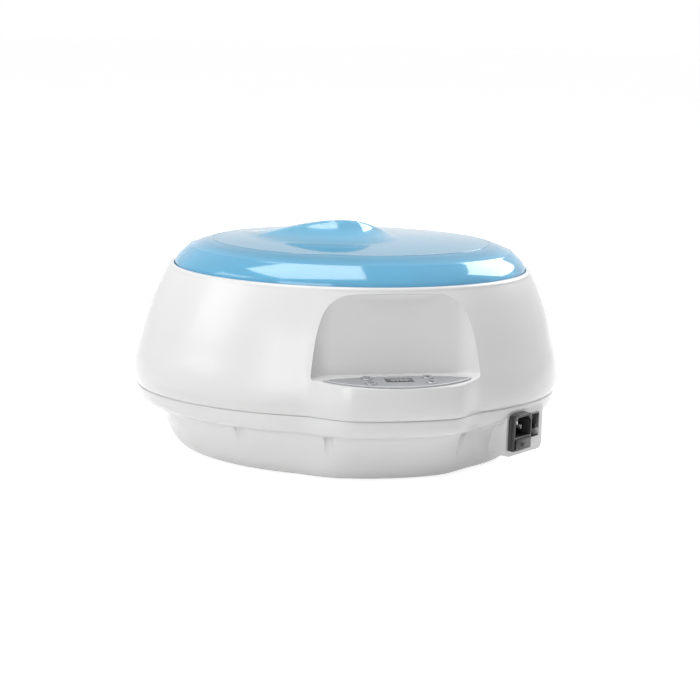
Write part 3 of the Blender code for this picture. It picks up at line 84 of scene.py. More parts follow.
# Control overlay, keys and display
OVERLAY_HALF = 0.0635
OVERLAY_FRONT_BOW = 0.022
OVERLAY_BACK_BOW = 0.0085
OVERLAY_TIP_BACK = 0.0255
OVERLAY_LENS_SHARE = 0.8
OVERLAY_THICK = 0.0008
KEY_SPREAD = 0.026
KEY_PITCH = 0.0125
KEY_RADIUS = 0.0046
DISPLAY_LENGTH = 0.023
DISPLAY_DEPTH = 0.009
PRINT_THICK = 0.00012
PRINT_LINE = 0.0009

# Mouth of the housing
MOUTH_INSET = 0.027

# Screw wells, and the bosses over them
SCREW_ANGLES = (-168, -135, -109, -69, -15, 15, 50, 90, 130, 165)
SCREW_INSET = 0.0155
WELL_RADIUS = 0.004
WELL_TOP_DROP = 0.0055
BOSS_RADIUS = 0.0045
BOSS_HEIGHT = 0.014
BOSS_TURNS = range(90, 271, 30)

# Feet, and floor vents beside the board's posts
FOOT_RADIUS = 0.009
FOOT_POCKET = 0.001
FOOT_X = 0.100
FOOT_Y = 0.066
VENT_LENGTH = 0.040
VENT_WIDTH = 0.003
VENT_PITCH = 0.009
VENT_COUNT = 4
VENT_X = 0.092
POST_RADIUS = 0.004

# Pad for the inlet and switch
PAD_ANGLE = math.radians(38)
PAD_INSET = 0.0030
PAD_CENTRE = 0.0320
PAD_HALF = 0.029
PAD_LOW_Z = 0.0135
PAD_HIGH_Z = 0.0530
PAD_ROUND = 0.007
PAD_ROOT = 0.100
PAD_WALL = 0.003
INLET_X = 0.0200
INLET_LOW_Z = 0.0188
INLET_WIDTH = 0.028
INLET_HEIGHT = 0.0312
INLET_RIM = 0.0009
INLET_ROUND = 0.004
INLET_LOW_ROUND = INLET_ROUND / 3
SWITCH_SPACE = 0.0044
SWITCH_LOW_Z = 0.0256
SWITCH_WIDTH = 0.015
SWITCH_HEIGHT = 0.021
SWITCH_RIM = 0.0016

# Lid
LID_THICK = 0.0022
LID_EDGE_RISE = 0.0052
LID_SKIRT_INSET = 0.0120
LID_SKIRT_RISE = 0.0185
LID_PLATEAU_INSET = 0.0315
LID_PLATEAU_RISE = 0.0250
LID_CROWN_RISE = 0.0290
HANDLE_X = -0.014
HANDLE_LEFT = 0.073
HANDLE_RIGHT = 0.054
HANDLE_BACK = 0.060
HANDLE_FRONT = 0.056
HANDLE_RISE = 0.0160
HANDLE_RIDGE_Y = -0.020
HANDLE_BOW = 0.032
HANDLE_FALL_SHARE = 1.3
CREST_SOFT = 0.0009
FACE_SHARE = 0.56
FACE_SOFT = 0.12
LIP_SHARE = 0.45
LIP_POWER = 7
CREASE = 0.00035
SKIRT_POWER = 1.45
PLATEAU_ARCH = 0.5
CROWN_START_SHARE = 0.03
CROWN_END_SHARE = 0.99
RIB_WIDTH = 0.0009
RIB_DEPTH = 0.0012
RIB_TOP_SHARE = 0.62
RIB_ANGLES = (-122, -101, -79, -57)

# Points round each oval, along each side and round each corner
FRONT_STEPS = 150
BACK_STEPS = 74
LID_STEPS = 200
SIDE_STEPS = 5
SKIRT_STEPS = 16
PLATEAU_STEPS = 12
CROWN_STEPS = 44
ROUND_STEPS = 14
PAD_STEPS = 8
INLET_STEPS = 6
HOLE_STEPS = 40
WELL_STEPS = 28
OVERLAY_STEPS = 48
ARC_STEPS = 28

# Angles over which an edge stays sharp or is bevelled, and up to which faces count as one
SHARP_EDGE = math.radians(32)
BASE_SHARP_EDGE = math.radians(55)
BEVEL_EDGE = math.radians(40)
FLAT_FACE = math.radians(2)

# Side of the housing, from the seam up: height, reach from rim to waist, and swell
HOUSING_SIDE_SHARES = (
    (0.04, 0.94, 1.0),
    (0.12, 1.0, 1.0),
    (0.25, 0.94, 1.0),
    (0.42, 0.77, 0.88),
    (0.58, 0.61, 0.68),
    (0.72, 0.44, 0.45),
    (0.86, 0.24, 0.20),
    (0.94, 0.11, 0.08),
    (1.0, 0.0, 0.0),
)

# Side of the base, from the floor up: height, reach from foot to seam, and swell
BASE_SIDE_SHARES = (
    (0.0, 0.0, 0.50),
    (0.028, 0.10, 0.52),
    (0.10, 0.20, 0.54),
    (0.21, 0.29, 0.58),
    (0.43, 0.41, 0.64),
    (0.62, 0.49, 0.72),
    (0.68, 0.57, 0.80),
    (0.725, 0.74, 0.90),
    (0.77, 0.88, 0.96),
    (0.86, 0.965, 1.0),
    (1.0, 1.0, 1.0),
)

# Inside of the base's side, with fewer rows
BASE_INNER_SHARES = (
    (0.0, 0.0, 0.50),
    (0.10, 0.20, 0.54),
    (0.43, 0.41, 0.64),
    (0.67, 0.51, 0.72),
    (0.76, 0.58, 0.80),
    (0.84, 0.90, 0.96),
    (1.0, 1.0, 1.0),
)

# Places that follow from the sizes above
BODY_Y = SWELL_DEPTH / 2
WELL_TOP_Z = SEAM_Z - WELL_TOP_DROP
SEAT_Z = RIM_Z - SEAT_DROP
RECESS_BACK_Y = BODY_Y - RIM_HALF_Y + RECESS_BACK_LIP
CONSOLE_FRONT_Y = BODY_Y - WAIST_HALF_Y - SWELL_DEPTH
SEAM_TOWARDS_PAD = math.hypot(SEAM_HALF_X * math.sin(PAD_ANGLE), SEAM_HALF_Y * math.cos(PAD_ANGLE))
PAD_REACH = SEAM_TOWARDS_PAD - PAD_INSET
LID_HALF_X = RIM_HALF_X - RIM_LIP - LID_PLAY
LID_HALF_Y = RIM_HALF_Y - RIM_LIP - LID_PLAY

# Camera: where it stands, and how the picture is framed in pixels
PICTURE = 700
CAMERA_AZIMUTH = math.radians(-16)
CAMERA_ELEVATION = math.radians(10.4)
CAMERA_ROLL = math.radians(2.0)
CAMERA_DISTANCE = 1.9
CAMERA_FOCAL = 2150
CAMERA_TARGET_Z = 0.08
PICTURE_RIGHT = -2
PICTURE_DOWN = 5
SENSOR = 36.0

# Softboxes: angles in degrees, lengths in metres and powers in watts
LIGHTS = {
    "key_left": dict(azimuth=-62, elevation=75, distance=1.8, width=1.15, height=1.30, power=22.0, spin=-34),
    "fill_right": dict(azimuth=113, elevation=34, distance=1.8, width=1.0, height=0.90, power=17.0),
    "side_left": dict(azimuth=-88, elevation=25, distance=2.0, width=1.0, height=0.9, power=7.0),
    "front_low": dict(azimuth=-34, elevation=12, distance=2.2, width=1.2, height=0.8, power=9.2),
}

# Floor and world: the white that the camera sees, and the light they give
WHITE = (1.0, 1.0, 1.0, 1.0)
WORLD_LIGHT = 0.17
WORLD_SEEN = 1.0
FLOOR_GLOW = 0.78
FLOOR_DARK = (0.79, 0.79, 0.79)
FLOOR_LIGHT = (0.81, 0.81, 0.81)
FLOOR_ROUGHNESS = 0.9
FLOOR_DRIFT = 3.0
FLOOR_REACH = 9.0
FLOOR_CELLS = 8

# Printed marks in shares of a key's radius: arcs are outer, inner, start and end
KEY_ARCS = {"key_power": (0.56, 0.44, 125, 415), "key_timer": (0.58, 0.46, 0, 360)}
KEY_BARS = {
    "key_power": ((-0.06, 0.10, 0.06, 0.66),),
    "key_timer": ((-0.05, -0.05, 0.05, 0.36), (0.05, -0.05, 0.30, 0.05)),
}
KEY_ARROWS = {
    "key_up": ((-0.48, -0.34), (0.48, -0.34), (0.0, 0.46)),
    "key_down": ((-0.48, 0.34), (0.48, 0.34), (0.0, -0.46)),
}

# Figures on the display: places in pitches, and the sizes of their strokes
FIGURES = (-1.5, -0.5, 0.5, 1.5)
FIGURE_PITCH = DISPLAY_LENGTH / 6
FIGURE_HALF = FIGURE_PITCH / 4
FIGURE_STROKE = FIGURE_PITCH / 9
FIGURE_TALL = DISPLAY_DEPTH / 4

# What all finishes share: noise, drift of colour, relief, rounded edges and clear coat
EVEN = (1.0, 1.0, 1.0)
COARSE_DETAIL = 2.0
FINE_DETAIL = 3.0
COLOR_DRIFT = 14.0
DRIFT_START = 0.35
DRIFT_END = 0.65
GLOSS_GRAIN_SHARE = 1 / 8
RELIEF_DEPTH = 0.0001
EDGE_SAMPLES = 6
COAT_ROUGHNESS = 0.08

# Finishes: two colours, range of roughness, scale of grain, strength of relief, radius of rounded edges
FINISHES = {
    "shell_white": dict(
        dark=(0.795, 0.795, 0.795), light=(0.808, 0.808, 0.806), rough=(0.24, 0.28),
        grain=70.0, relief=0.02, edge=0.0009, coat=0.12),
    "print_white": dict(
        dark=(0.82, 0.82, 0.82), light=(0.88, 0.88, 0.88), rough=(0.35, 0.45), grain=1500.0, relief=0.05),
    "print_dark": dict(
        dark=(0.06, 0.06, 0.07), light=(0.09, 0.09, 0.10), rough=(0.4, 0.5), grain=1500.0, relief=0.05),
    "matt_black": dict(
        dark=(0.014, 0.014, 0.015), light=(0.022, 0.022, 0.024), rough=(0.30, 0.42),
        grain=1400.0, relief=0.25, edge=0.0003),
    "gloss_black": dict(
        dark=(0.010, 0.010, 0.011), light=(0.016, 0.016, 0.018), rough=(0.10, 0.18),
        grain=700.0, relief=0.06, edge=0.0003, coat=0.4),
    "silver_film": dict(
        dark=(0.40, 0.41, 0.43), light=(0.47, 0.48, 0.50), rough=(0.30, 0.42),
        grain=260.0, relief=0.08, metallic=0.45, stretch=(0.4, 14.0, 1.0)),
    "display_glass": dict(
        dark=(0.030, 0.034, 0.034), light=(0.050, 0.055, 0.055), rough=(0.06, 0.12),
        grain=500.0, relief=0.03, edge=0.0002, coat=0.5),
    "grey_rubber": dict(
        dark=(0.20, 0.20, 0.21), light=(0.27, 0.27, 0.28), rough=(0.65, 0.85), grain=1200.0, relief=0.4),
    "spun_metal": dict(
        dark=(0.58, 0.59, 0.61), light=(0.68, 0.69, 0.71), rough=(0.22, 0.40),
        grain=320.0, relief=0.12, metallic=1.0, stretch=(1.0, 1.0, 22.0)),
    "grille_plastic": dict(
        dark=(0.78, 0.78, 0.77), light=(0.84, 0.84, 0.83), rough=(0.40, 0.52),
        grain=900.0, relief=0.12, edge=0.0003),
    "plated_steel": dict(
        dark=(0.62, 0.63, 0.64), light=(0.74, 0.75, 0.76), rough=(0.18, 0.32),
        grain=900.0, relief=0.12, edge=0.0002, metallic=1.0),
    "turned_brass": dict(
        dark=(0.70, 0.50, 0.22), light=(0.82, 0.62, 0.30), rough=(0.20, 0.34),
        grain=900.0, relief=0.12, metallic=1.0),
    "heater_rubber": dict(
        dark=(0.36, 0.09, 0.06), light=(0.48, 0.13, 0.09), rough=(0.5, 0.65), grain=800.0, relief=0.3),
    "board_green": dict(
        dark=(0.02, 0.16, 0.07), light=(0.04, 0.24, 0.11), rough=(0.28, 0.40), grain=600.0, relief=0.1),
    "core_metal": dict(
        dark=(0.12, 0.12, 0.125), light=(0.20, 0.20, 0.205), rough=(0.4, 0.55),
        grain=500.0, relief=0.25, edge=0.0003, metallic=0.3),
    "relay_blue": dict(
        dark=(0.05, 0.14, 0.45), light=(0.08, 0.20, 0.55), rough=(0.3, 0.4),
        grain=900.0, relief=0.1, edge=0.0003),
    "terminal_green": dict(
        dark=(0.05, 0.35, 0.13), light=(0.08, 0.45, 0.18), rough=(0.35, 0.45),
        grain=900.0, relief=0.12, edge=0.0003),
    "lead_sleeve": dict(
        dark=(0.20, 0.09, 0.04), light=(0.28, 0.13, 0.06), rough=(0.35, 0.5), grain=700.0, relief=0.15),
    "rib_blue": dict(
        dark=(0.06, 0.30, 0.62), light=(0.08, 0.34, 0.66), rough=(0.2, 0.3), grain=700.0, relief=0.05),
}

# The lid's clear plastic, with painted shade by height, from skirt over top to handle: the top is painted
# darker, as if the dark inside of the bath showed through it, and the skirt and handle stay light
LID_PAINTED_SHADE_COLORS = (
    (0.14, (0.20, 0.67, 0.95)),
    (0.27, (0.10, 0.49, 0.73)),
    (0.40, (0.10, 0.49, 0.73)),
    (0.58, (0.26, 0.71, 0.96)),
)
LID_INPUTS = {
    "IOR": 1.5,
    "Specular IOR Level": 0.9,
    "Transmission Weight": 0.50,
    "Coat Weight": 0.08,
    "Coat Roughness": 0.03,
}
LID_ROUGHNESS = (0.05, 0.09)
LID_GLOSS_GRAIN = 60.0
LID_RELIEF_GRAIN = 90.0
LID_RELIEF = 0.03
LID_RELIEF_DEPTH = 0.0002
LID_DRIFT = 9.0
LID_DRIFT_SHARE = 0.05
# How far below the top of the skirt the painted shade starts
PAINTED_SHADE_BLEND = 0.002

# Finish of each of the record's material slots
SLOT_FINISHES = {
    "white_shell": "shell_white", "lid_blue": "clear_blue", "black_plastic": "matt_black",
    "overlay_silver": "silver_film", "display_dark": "display_glass", "rubber_grey": "grey_rubber",
    "tank_metal": "spun_metal", "grille_white": "grille_plastic", "steel": "plated_steel",
    "brass": "turned_brass", "heater_red": "heater_rubber", "board_green": "board_green",
    "core_metal": "core_metal", "relay_blue": "relay_blue", "terminal_green": "terminal_green",
    "lead_sleeve": "lead_sleeve",
}
NODE_FINISHES = {"switch_rocker": "gloss_black"}
BEVELLED_NODES = ("inlet_housing", "fuse_drawer", "switch_housing", "switch_rocker", "display_module")
WELD_REACH = GAP / 20
BEVEL_STEPS = 2


def lerp(start, end, share):
    return start + (end - start) * share


def smooth_share(share):
    share = min(1.0, max(0.0, share))
    return share * share * (3 - 2 * share)


def fine_shares(shares, steps):
    """A table of shares with smooth in-between rows."""
    rows = [Vector(row) for row in (shares[0], *shares, shares[-1])]
    fine = []
    for before, here, after, beyond in zip(rows, rows[1:], rows[2:], rows[3:]):
        for step in range(steps):
            t = step / steps
            bend = (before * 2 - here * 5 + after * 4 - beyond) * t**2
            twist = (here * 3 - before - after * 3 + beyond) * t**3
            fine.append((here * 2 + (after - before) * t + bend + twist) / 2)
    fine.append(rows[-1])
    return [tuple(row) for row in fine]


def add_object(name, mesh):
    """Turns a bmesh into a named object with outward faces."""
    bmesh.ops.recalc_face_normals(mesh, faces=mesh.faces)
    data = bpy.data.meshes.new(name)
    mesh.to_mesh(data)
    mesh.free()
    data.shade_smooth()
    data.set_sharp_from_angle(angle=SHARP_EDGE)
    made = bpy.data.objects.new(name, data)
    bpy.context.collection.objects.link(made)
    return made


def add_guide(name, mesh):
    """A hidden shape that only cuts or joins others, until settle removes it."""
    made = add_object(name, mesh)
    made.hide_render = True
    return made


def boolean(target, tool, operation):
    step = target.modifiers.new(operation.lower() + "_" + tool.name, "BOOLEAN")
    step.operation = operation
    step.solver = "EXACT"
    step.object = tool


def cut(target, tool):
    boolean(target, tool, "DIFFERENCE")


def settle(thing, sharp=SHARP_EDGE):
    """Keeps what the modifiers make as the object's own mesh, and removes their guides."""
    tools = [step.object for step in thing.modifiers if step.type == "BOOLEAN"]
    for tool in tools:
        if tool.modifiers:
            settle(tool)
    graph = bpy.context.evaluated_depsgraph_get()
    data = bpy.data.meshes.new_from_object(thing.evaluated_get(graph))
    thing.modifiers.clear()
    thing.data = data
    for tool in tools:
        bpy.data.objects.remove(tool, do_unlink=True)
    data.shade_smooth()
    data.set_sharp_from_angle(angle=sharp)


def loft_mesh(rings, closed=False, mesh=None):
    """Skins rings of equal count. A closed loft joins its last ring to its first."""
    mesh = mesh or bmesh.new()
    rows = [[mesh.verts.new(point) for point in ring] for ring in rings]
    count = len(rows[0])
    pairs = list(zip(rows, rows[1:]))
    if closed:
        pairs.append((rows[-1], rows[0]))
    else:
        mesh.faces.new(list(reversed(rows[0])))
        mesh.faces.new(rows[-1])
    for low, high in pairs:
        for i in range(count):
            mesh.faces.new((low[i - 1], low[i], high[i], high[i - 1]))
    return mesh


def placed(ring, place):
    return [place @ point for point in ring]


def swell_share(x):
    """How much of the console's swell shows at x, from 1 in the middle to 0."""
    flank = SWELL_FLANK_HALF - SWELL_FLAT_HALF
    return smooth_share((SWELL_FLANK_HALF - abs(x)) / flank)


def oval_point(half_x, half_y, angle, z, swell=0.0):
    x = half_x * math.cos(angle)
    y = half_y * math.sin(angle)
    if y < 0:
        y -= swell * swell_share(x)
    return Vector((x, y + BODY_Y, z))


def body_angles():
    front = [math.pi * (1 + step / FRONT_STEPS) for step in range(FRONT_STEPS)]
    back = [math.pi * step / BACK_STEPS for step in range(BACK_STEPS)]
    return front + back


def body_ring(half_x, half_y, z, swell=0.0):
    return [oval_point(half_x, half_y, angle, z, swell) for angle in body_angles()]


def plain_ring(half_x, half_y):
    angles = [math.tau * step / LID_STEPS for step in range(LID_STEPS)]
    return [Vector((half_x * math.cos(a), half_y * math.sin(a) + BODY_Y, 0.0)) for a in angles]


def circle(radius, z, count):
    angles = [math.tau * step / count for step in range(count)]
    return [Vector((radius * math.cos(a), radius * math.sin(a), z)) for a in angles]


def turned_mesh(profile, place, count, mesh):
    """A solid of circles: profile lists (radius, height) from its low end to its high end."""
    return loft_mesh([placed(circle(r, z, count), place) for r, z in profile], mesh=mesh)


def rectangle(half_x, half_y, z, centre):
    x, y = centre
    corners = box_corners(x - half_x, x + half_x, y - half_y, y + half_y)
    return [Vector((*corner, z)) for corner in corners]


def block_mesh(size, centre, place=Matrix(), mesh=None):
    """A box of a given size about a centre."""
    x, y, z = centre
    rings = [
        rectangle(size[0] / 2, size[1] / 2, z - size[2] / 2, (x, y)),
        rectangle(size[0] / 2, size[1] / 2, z + size[2] / 2, (x, y)),
    ]
    return loft_mesh([placed(ring, place) for ring in rings], mesh=mesh)


def box_corners(left, right, low, high):
    return [(left, low), (right, low), (right, high), (left, high)]


def rounded_outline(corners, radii, steps=ROUND_STEPS):
    """Rounds each corner of a flat outline of (x, y) pairs."""
    points = []
    for i, corner in enumerate(corners):
        here = Vector(corner)
        before = Vector(corners[i - 1])
        after = Vector(corners[(i + 1) % len(corners)])
        start = here + (before - here).normalized() * radii[i]
        end = here + (after - here).normalized() * radii[i]
        for step in range(steps + 1):
            t = step / steps
            points.append(start * (1 - t) ** 2 + here * (2 * t * (1 - t)) + end * t**2)
    return points


def prism_mesh(outline, low, high, place=Matrix(), mesh=None):
    rings = [[place @ Vector((x, y, z)) for x, y in outline] for z in (low, high)]
    return loft_mesh(rings, mesh=mesh)


HOUSING_FINE_SHARES = fine_shares(HOUSING_SIDE_SHARES, SIDE_STEPS)
BASE_FINE_SHARES = fine_shares(BASE_SIDE_SHARES, SIDE_STEPS)


def side_rings(shares, start, end, inset, low, high):
    """Rings of a side: its shares lie between two ovals' half sizes and between two heights."""
    rings = []
    for height, reach, swell in shares:
        half_x = lerp(start[0], end[0], reach) - inset
        half_y = lerp(start[1], end[1], reach) - inset
        rings.append(body_ring(half_x, half_y, lerp(low, high, height), swell * SWELL_DEPTH))
    return rings


def housing_side(inset, low, high, shares=HOUSING_FINE_SHARES):
    return side_rings(shares, (RIM_HALF_X, RIM_HALF_Y), (WAIST_HALF_X, WAIST_HALF_Y), inset, low, high)


def housing_outer():
    low = SEAM_Z + GAP
    inner = (SEAM_HALF_X - SEAM_ROUND, SEAM_HALF_Y - SEAM_ROUND)
    rings = [body_ring(*inner, low, SWELL_DEPTH)]
    rings.append(body_ring(SEAM_HALF_X, SEAM_HALF_Y, low + SEAM_ROUND, SWELL_DEPTH))
    rings += housing_side(0.0, low, RIM_Z - RIM_ROUND)
    for turn in RIM_TURNS:
        inset = RIM_ROUND * (1 - math.cos(math.radians(turn)))
        z = RIM_Z - RIM_ROUND * (1 - math.sin(math.radians(turn)))
        rings.append(body_ring(RIM_HALF_X - inset, RIM_HALF_Y - inset, z))
    lip = (RIM_HALF_X - RIM_LIP, RIM_HALF_Y - RIM_LIP)
    rings.append(body_ring(lip[0] + SEAM_ROUND, lip[1] + SEAM_ROUND, RIM_Z))
    rings.append(body_ring(*lip, RIM_Z - SEAM_ROUND))
    rings.append(body_ring(*lip, SEAT_Z))
    return loft_mesh(rings)


def housing_cavity():
    """The space inside the housing, up through the mouth that holds the tank."""
    half = (SEAM_HALF_X - WALL, SEAM_HALF_Y - WALL)
    rings = [body_ring(*half, SEAM_Z - OVERRUN, SWELL_DEPTH), body_ring(*half, SEAM_Z + GAP, SWELL_DEPTH)]
    rings += housing_side(WALL, SEAM_Z + GAP, SEAT_Z - WALL, HOUSING_SIDE_SHARES)
    mouth = (RIM_HALF_X - MOUTH_INSET, RIM_HALF_Y - MOUTH_INSET)
    rings.append(body_ring(*mouth, SEAT_Z - WALL))
    rings.append(body_ring(*mouth, RIM_Z + OVERRUN))
    return loft_mesh(rings)


def ledge_height(y):
    """The ledge climbs away from the user, from its front edge to the back wall."""
    return LEDGE_FRONT_Z + (y - CONSOLE_FRONT_Y) * math.tan(LEDGE_TILT)


def recess_mesh(grow):
    """The console's recess, from its back wall to beyond the front of the body."""
    back = RECESS_BACK_Y + grow
    front = CONSOLE_FRONT_Y - OVERRUN
    blend = min(RECESS_BLEND, back - CONSOLE_FRONT_Y)
    turns = [90 * step / ROUND_STEPS for step in range(ROUND_STEPS + 1)]
    depths = [blend * (1 - math.cos(math.radians(a))) for a in turns]
    depths.append(back - front)
    rings = []
    for depth in depths:
        y = back - depth
        left = max(0.0, 1 - depth / blend)
        inset = blend * (1 - math.sqrt(max(0.0, 1 - left**2)))
        top_inset = inset * RECESS_BACK_LIP / RECESS_BLEND
        low = RECESS_FLOOR_HALF - inset + grow
        high = RECESS_TOP_HALF - inset * RECESS_TOP_HALF / RECESS_FLOOR_HALF + grow
        floor = ledge_height(y) - grow
        top = RECESS_TOP_Z - top_inset + grow
        corners = [(-low, floor), (low, floor), (high, top), (-high, top)]
        radii = [RECESS_FLOOR_ROUND, RECESS_FLOOR_ROUND, RECESS_TOP_ROUND, RECESS_TOP_ROUND]
        rings.append([Vector((x, y, z)) for x, z in rounded_outline(corners, radii)])
    return loft_mesh(rings)


def ledge_frame():
    """Local axes of the ledge: x to the right, y towards the back wall, z out of it."""
    y = CONSOLE_FRONT_Y + OVERLAY_TIP_BACK
    turn = Matrix.Rotation(LEDGE_TILT, 4, "X")
    return Matrix.Translation((0.0, y, ledge_height(y))) @ turn


def key_places():
    """The four keys by name, in the ledge's local axes, and the row between them."""
    middle = (OVERLAY_BACK_BOW - OVERLAY_FRONT_BOW) / 2 + KEY_PITCH / 4
    back = middle + KEY_PITCH / 2
    front = middle - KEY_PITCH / 2
    places = {
        "key_power": (-KEY_SPREAD, back),
        "key_timer": (-KEY_SPREAD, front),
        "key_up": (KEY_SPREAD, back),
        "key_down": (KEY_SPREAD, front),
    }
    return places, middle


def screw_place(angle_degrees):
    angle = math.radians(angle_degrees)
    half_x = SEAM_HALF_X - SCREW_INSET
    half_y = SEAM_HALF_Y - SCREW_INSET
    return oval_point(half_x, half_y, angle, 0.0, SWELL_DEPTH)


def screw_outward(angle_degrees):
    angle = math.radians(angle_degrees)
    across = Vector((math.cos(angle) / SEAM_HALF_X, math.sin(angle) / SEAM_HALF_Y, 0.0))
    return across.normalized()


def boss_guides(name, low, high):
    """Blocks round the case screws that reach out to the wall beside them."""
    mesh = bmesh.new()
    for angle in SCREW_ANGLES:
        place = screw_place(angle)
        outward = screw_outward(angle)
        side = Vector((-outward.y, outward.x, 0.0))
        outline = []
        for turn in map(math.radians, BOSS_TURNS):
            point = place + (outward * math.cos(turn) + side * math.sin(turn)) * BOSS_RADIUS
            outline.append((point.x, point.y))
        for across in (-BOSS_RADIUS, BOSS_RADIUS):
            point = place + outward * (SCREW_INSET + OVERRUN) + side * across
            outline.append((point.x, point.y))
        prism_mesh(outline, low, high, mesh=mesh)
    return add_guide(name, mesh)


def screw_wells():
    mesh = bmesh.new()
    for angle in SCREW_ANGLES:
        place = Matrix.Translation(screw_place(angle))
        turned_mesh(((WELL_RADIUS, -OVERRUN), (WELL_RADIUS, WELL_TOP_Z)), place, WELL_STEPS, mesh)
    return mesh


def ledge_openings(depth):
    """Cutters for the four keys and the display, to a depth below the ledge."""
    mesh = bmesh.new()
    places, middle = key_places()
    for x, y in places.values():
        spot = ledge_frame() @ Matrix.Translation((x, y, 0.0))
        turned_mesh(((KEY_RADIUS + GAP, -depth), (KEY_RADIUS + GAP, OVERRUN)), spot, HOLE_STEPS, mesh)
    size = (DISPLAY_LENGTH + 2 * GAP, DISPLAY_DEPTH + 2 * GAP, 2 * depth)
    block_mesh(size, (0.0, middle, 0.0), ledge_frame(), mesh)
    return mesh


def build_housing():
    housing = add_object("housing_shell", housing_outer())
    cavity = add_guide("housing_cavity", housing_cavity())
    cut(cavity, add_guide("recess_wall", recess_mesh(WALL)))
    cut(cavity, boss_guides("housing_bosses", SEAM_Z - 2 * OVERRUN, SEAM_Z + BOSS_HEIGHT))
    cut(housing, cavity)
    cut(housing, add_guide("recess", recess_mesh(0.0)))
    cut(housing, add_guide("ledge_openings", ledge_openings(WALL + OVERRUN)))
    settle(housing)
    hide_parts("upper_housing")
    finish_piece(housing, "body", "shell_white")


def pad_frame():
    """Local axes of the pad: x along it to the right, y up, z straight out of it."""
    right = Vector((math.cos(PAD_ANGLE), math.sin(PAD_ANGLE), 0.0))
    out = Vector((math.sin(PAD_ANGLE), -math.cos(PAD_ANGLE), 0.0))
    up = Vector((0.0, 0.0, 1.0))
    axes = Matrix((right, up, out)).transposed().to_4x4()
    axes.translation = Vector((0.0, BODY_Y, 0.0)) + out * PAD_REACH
    return axes


def pad_outline(inset):
    half = PAD_HALF - inset
    corners = box_corners(PAD_CENTRE - half, PAD_CENTRE + half, PAD_LOW_Z + inset, PAD_HIGH_Z - inset)
    return rounded_outline(corners, [PAD_ROUND - inset] * 4, PAD_STEPS)


def inlet_outline(inset):
    half = INLET_WIDTH / 2 - inset
    high = INLET_LOW_Z + INLET_HEIGHT - inset
    corners = box_corners(INLET_X - half, INLET_X + half, INLET_LOW_Z + inset, high)
    radii = [INLET_LOW_ROUND, INLET_LOW_ROUND, INLET_ROUND, INLET_ROUND]
    return rounded_outline(corners, radii, INLET_STEPS)


def switch_corners(inset):
    left = INLET_X + INLET_WIDTH / 2 + SWITCH_SPACE
    high = SWITCH_LOW_Z + SWITCH_HEIGHT - inset
    return box_corners(left + inset, left + SWITCH_WIDTH - inset, SWITCH_LOW_Z + inset, high)


def foot_places():
    return [(sx * FOOT_X, BODY_Y + sy * FOOT_Y) for sx in (-1, 1) for sy in (-1, 1)]


def base_side(inset, low, shares=BASE_FINE_SHARES):
    foot = (FOOT_HALF_X, FOOT_HALF_Y)
    seam = (SEAM_HALF_X, SEAM_HALF_Y)
    return side_rings(shares, foot, seam, inset, low, SEAM_Z - SEAM_ROUND)


def base_outer():
    rings = base_side(0.0, FLOOR_Z)
    rings.append(body_ring(SEAM_HALF_X - SEAM_ROUND, SEAM_HALF_Y - SEAM_ROUND, SEAM_Z, SWELL_DEPTH))
    return loft_mesh(rings)


def base_cavity():
    rings = base_side(WALL, FLOOR_Z + WALL, BASE_INNER_SHARES)
    half = (SEAM_HALF_X - WALL, SEAM_HALF_Y - WALL)
    rings.append(body_ring(*half, SEAM_Z + OVERRUN, SWELL_DEPTH))
    return loft_mesh(rings)


def floor_cuts():
    mesh = bmesh.new()
    for x, y in foot_places():
        spot = Matrix.Translation((x, y, FLOOR_Z))
        profile = ((FOOT_RADIUS + GAP, -OVERRUN), (FOOT_RADIUS + GAP, FOOT_POCKET))
        turned_mesh(profile, spot, HOLE_STEPS, mesh)
    for i in range(VENT_COUNT):
        y = BODY_Y + (i - (VENT_COUNT - 1) / 2) * VENT_PITCH
        x = VENT_X - VENT_LENGTH / 2 - POST_RADIUS
        block_mesh((VENT_LENGTH, VENT_WIDTH, WALL + 2 * OVERRUN), (x, y, FLOOR_Z + WALL / 2), mesh=mesh)
    return mesh


def build_base():
    base = add_object("base_shell", base_outer())
    place = pad_frame()
    inward = PAD_ROOT - PAD_REACH
    boolean(base, add_guide("pad", prism_mesh(pad_outline(0.0), inward, GAP, place)), "UNION")
    cavity = add_guide("base_cavity", base_cavity())
    cut(cavity, boss_guides("base_bosses", FLOOR_Z, SEAM_Z + 2 * OVERRUN))
    surround = prism_mesh(pad_outline(-WALL), GAP - PAD_WALL, 2 * OVERRUN, place)
    cut(cavity, add_guide("pad_surround", surround))
    cut(base, cavity)
    pocket = prism_mesh(pad_outline(WALL), inward + WALL, -PAD_WALL, place)
    cut(base, add_guide("pad_pocket", pocket))
    cut(base, add_guide("pad_face", prism_mesh(pad_outline(-GAP), 0.0, 2 * OVERRUN, place)))
    openings = bmesh.new()
    prism_mesh(inlet_outline(INLET_RIM - GAP), -PAD_WALL - OVERRUN, OVERRUN, place, openings)
    prism_mesh(switch_corners(SWITCH_RIM - GAP), -PAD_WALL - OVERRUN, OVERRUN, place, openings)
    cut(base, add_guide("pad_openings", openings))
    cut(base, add_guide("screw_wells", screw_wells()))
    cut(base, add_guide("floor_cuts", floor_cuts()))
    settle(base, BASE_SHARP_EDGE)
    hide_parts("base")
    finish_piece(base, "body", "shell_white")


def handle_face(across):
    """The handle's front, a flat slope with a soft foot."""
    drop = 1 - across / FACE_SHARE
    return (drop + math.hypot(drop, FACE_SOFT)) / 2


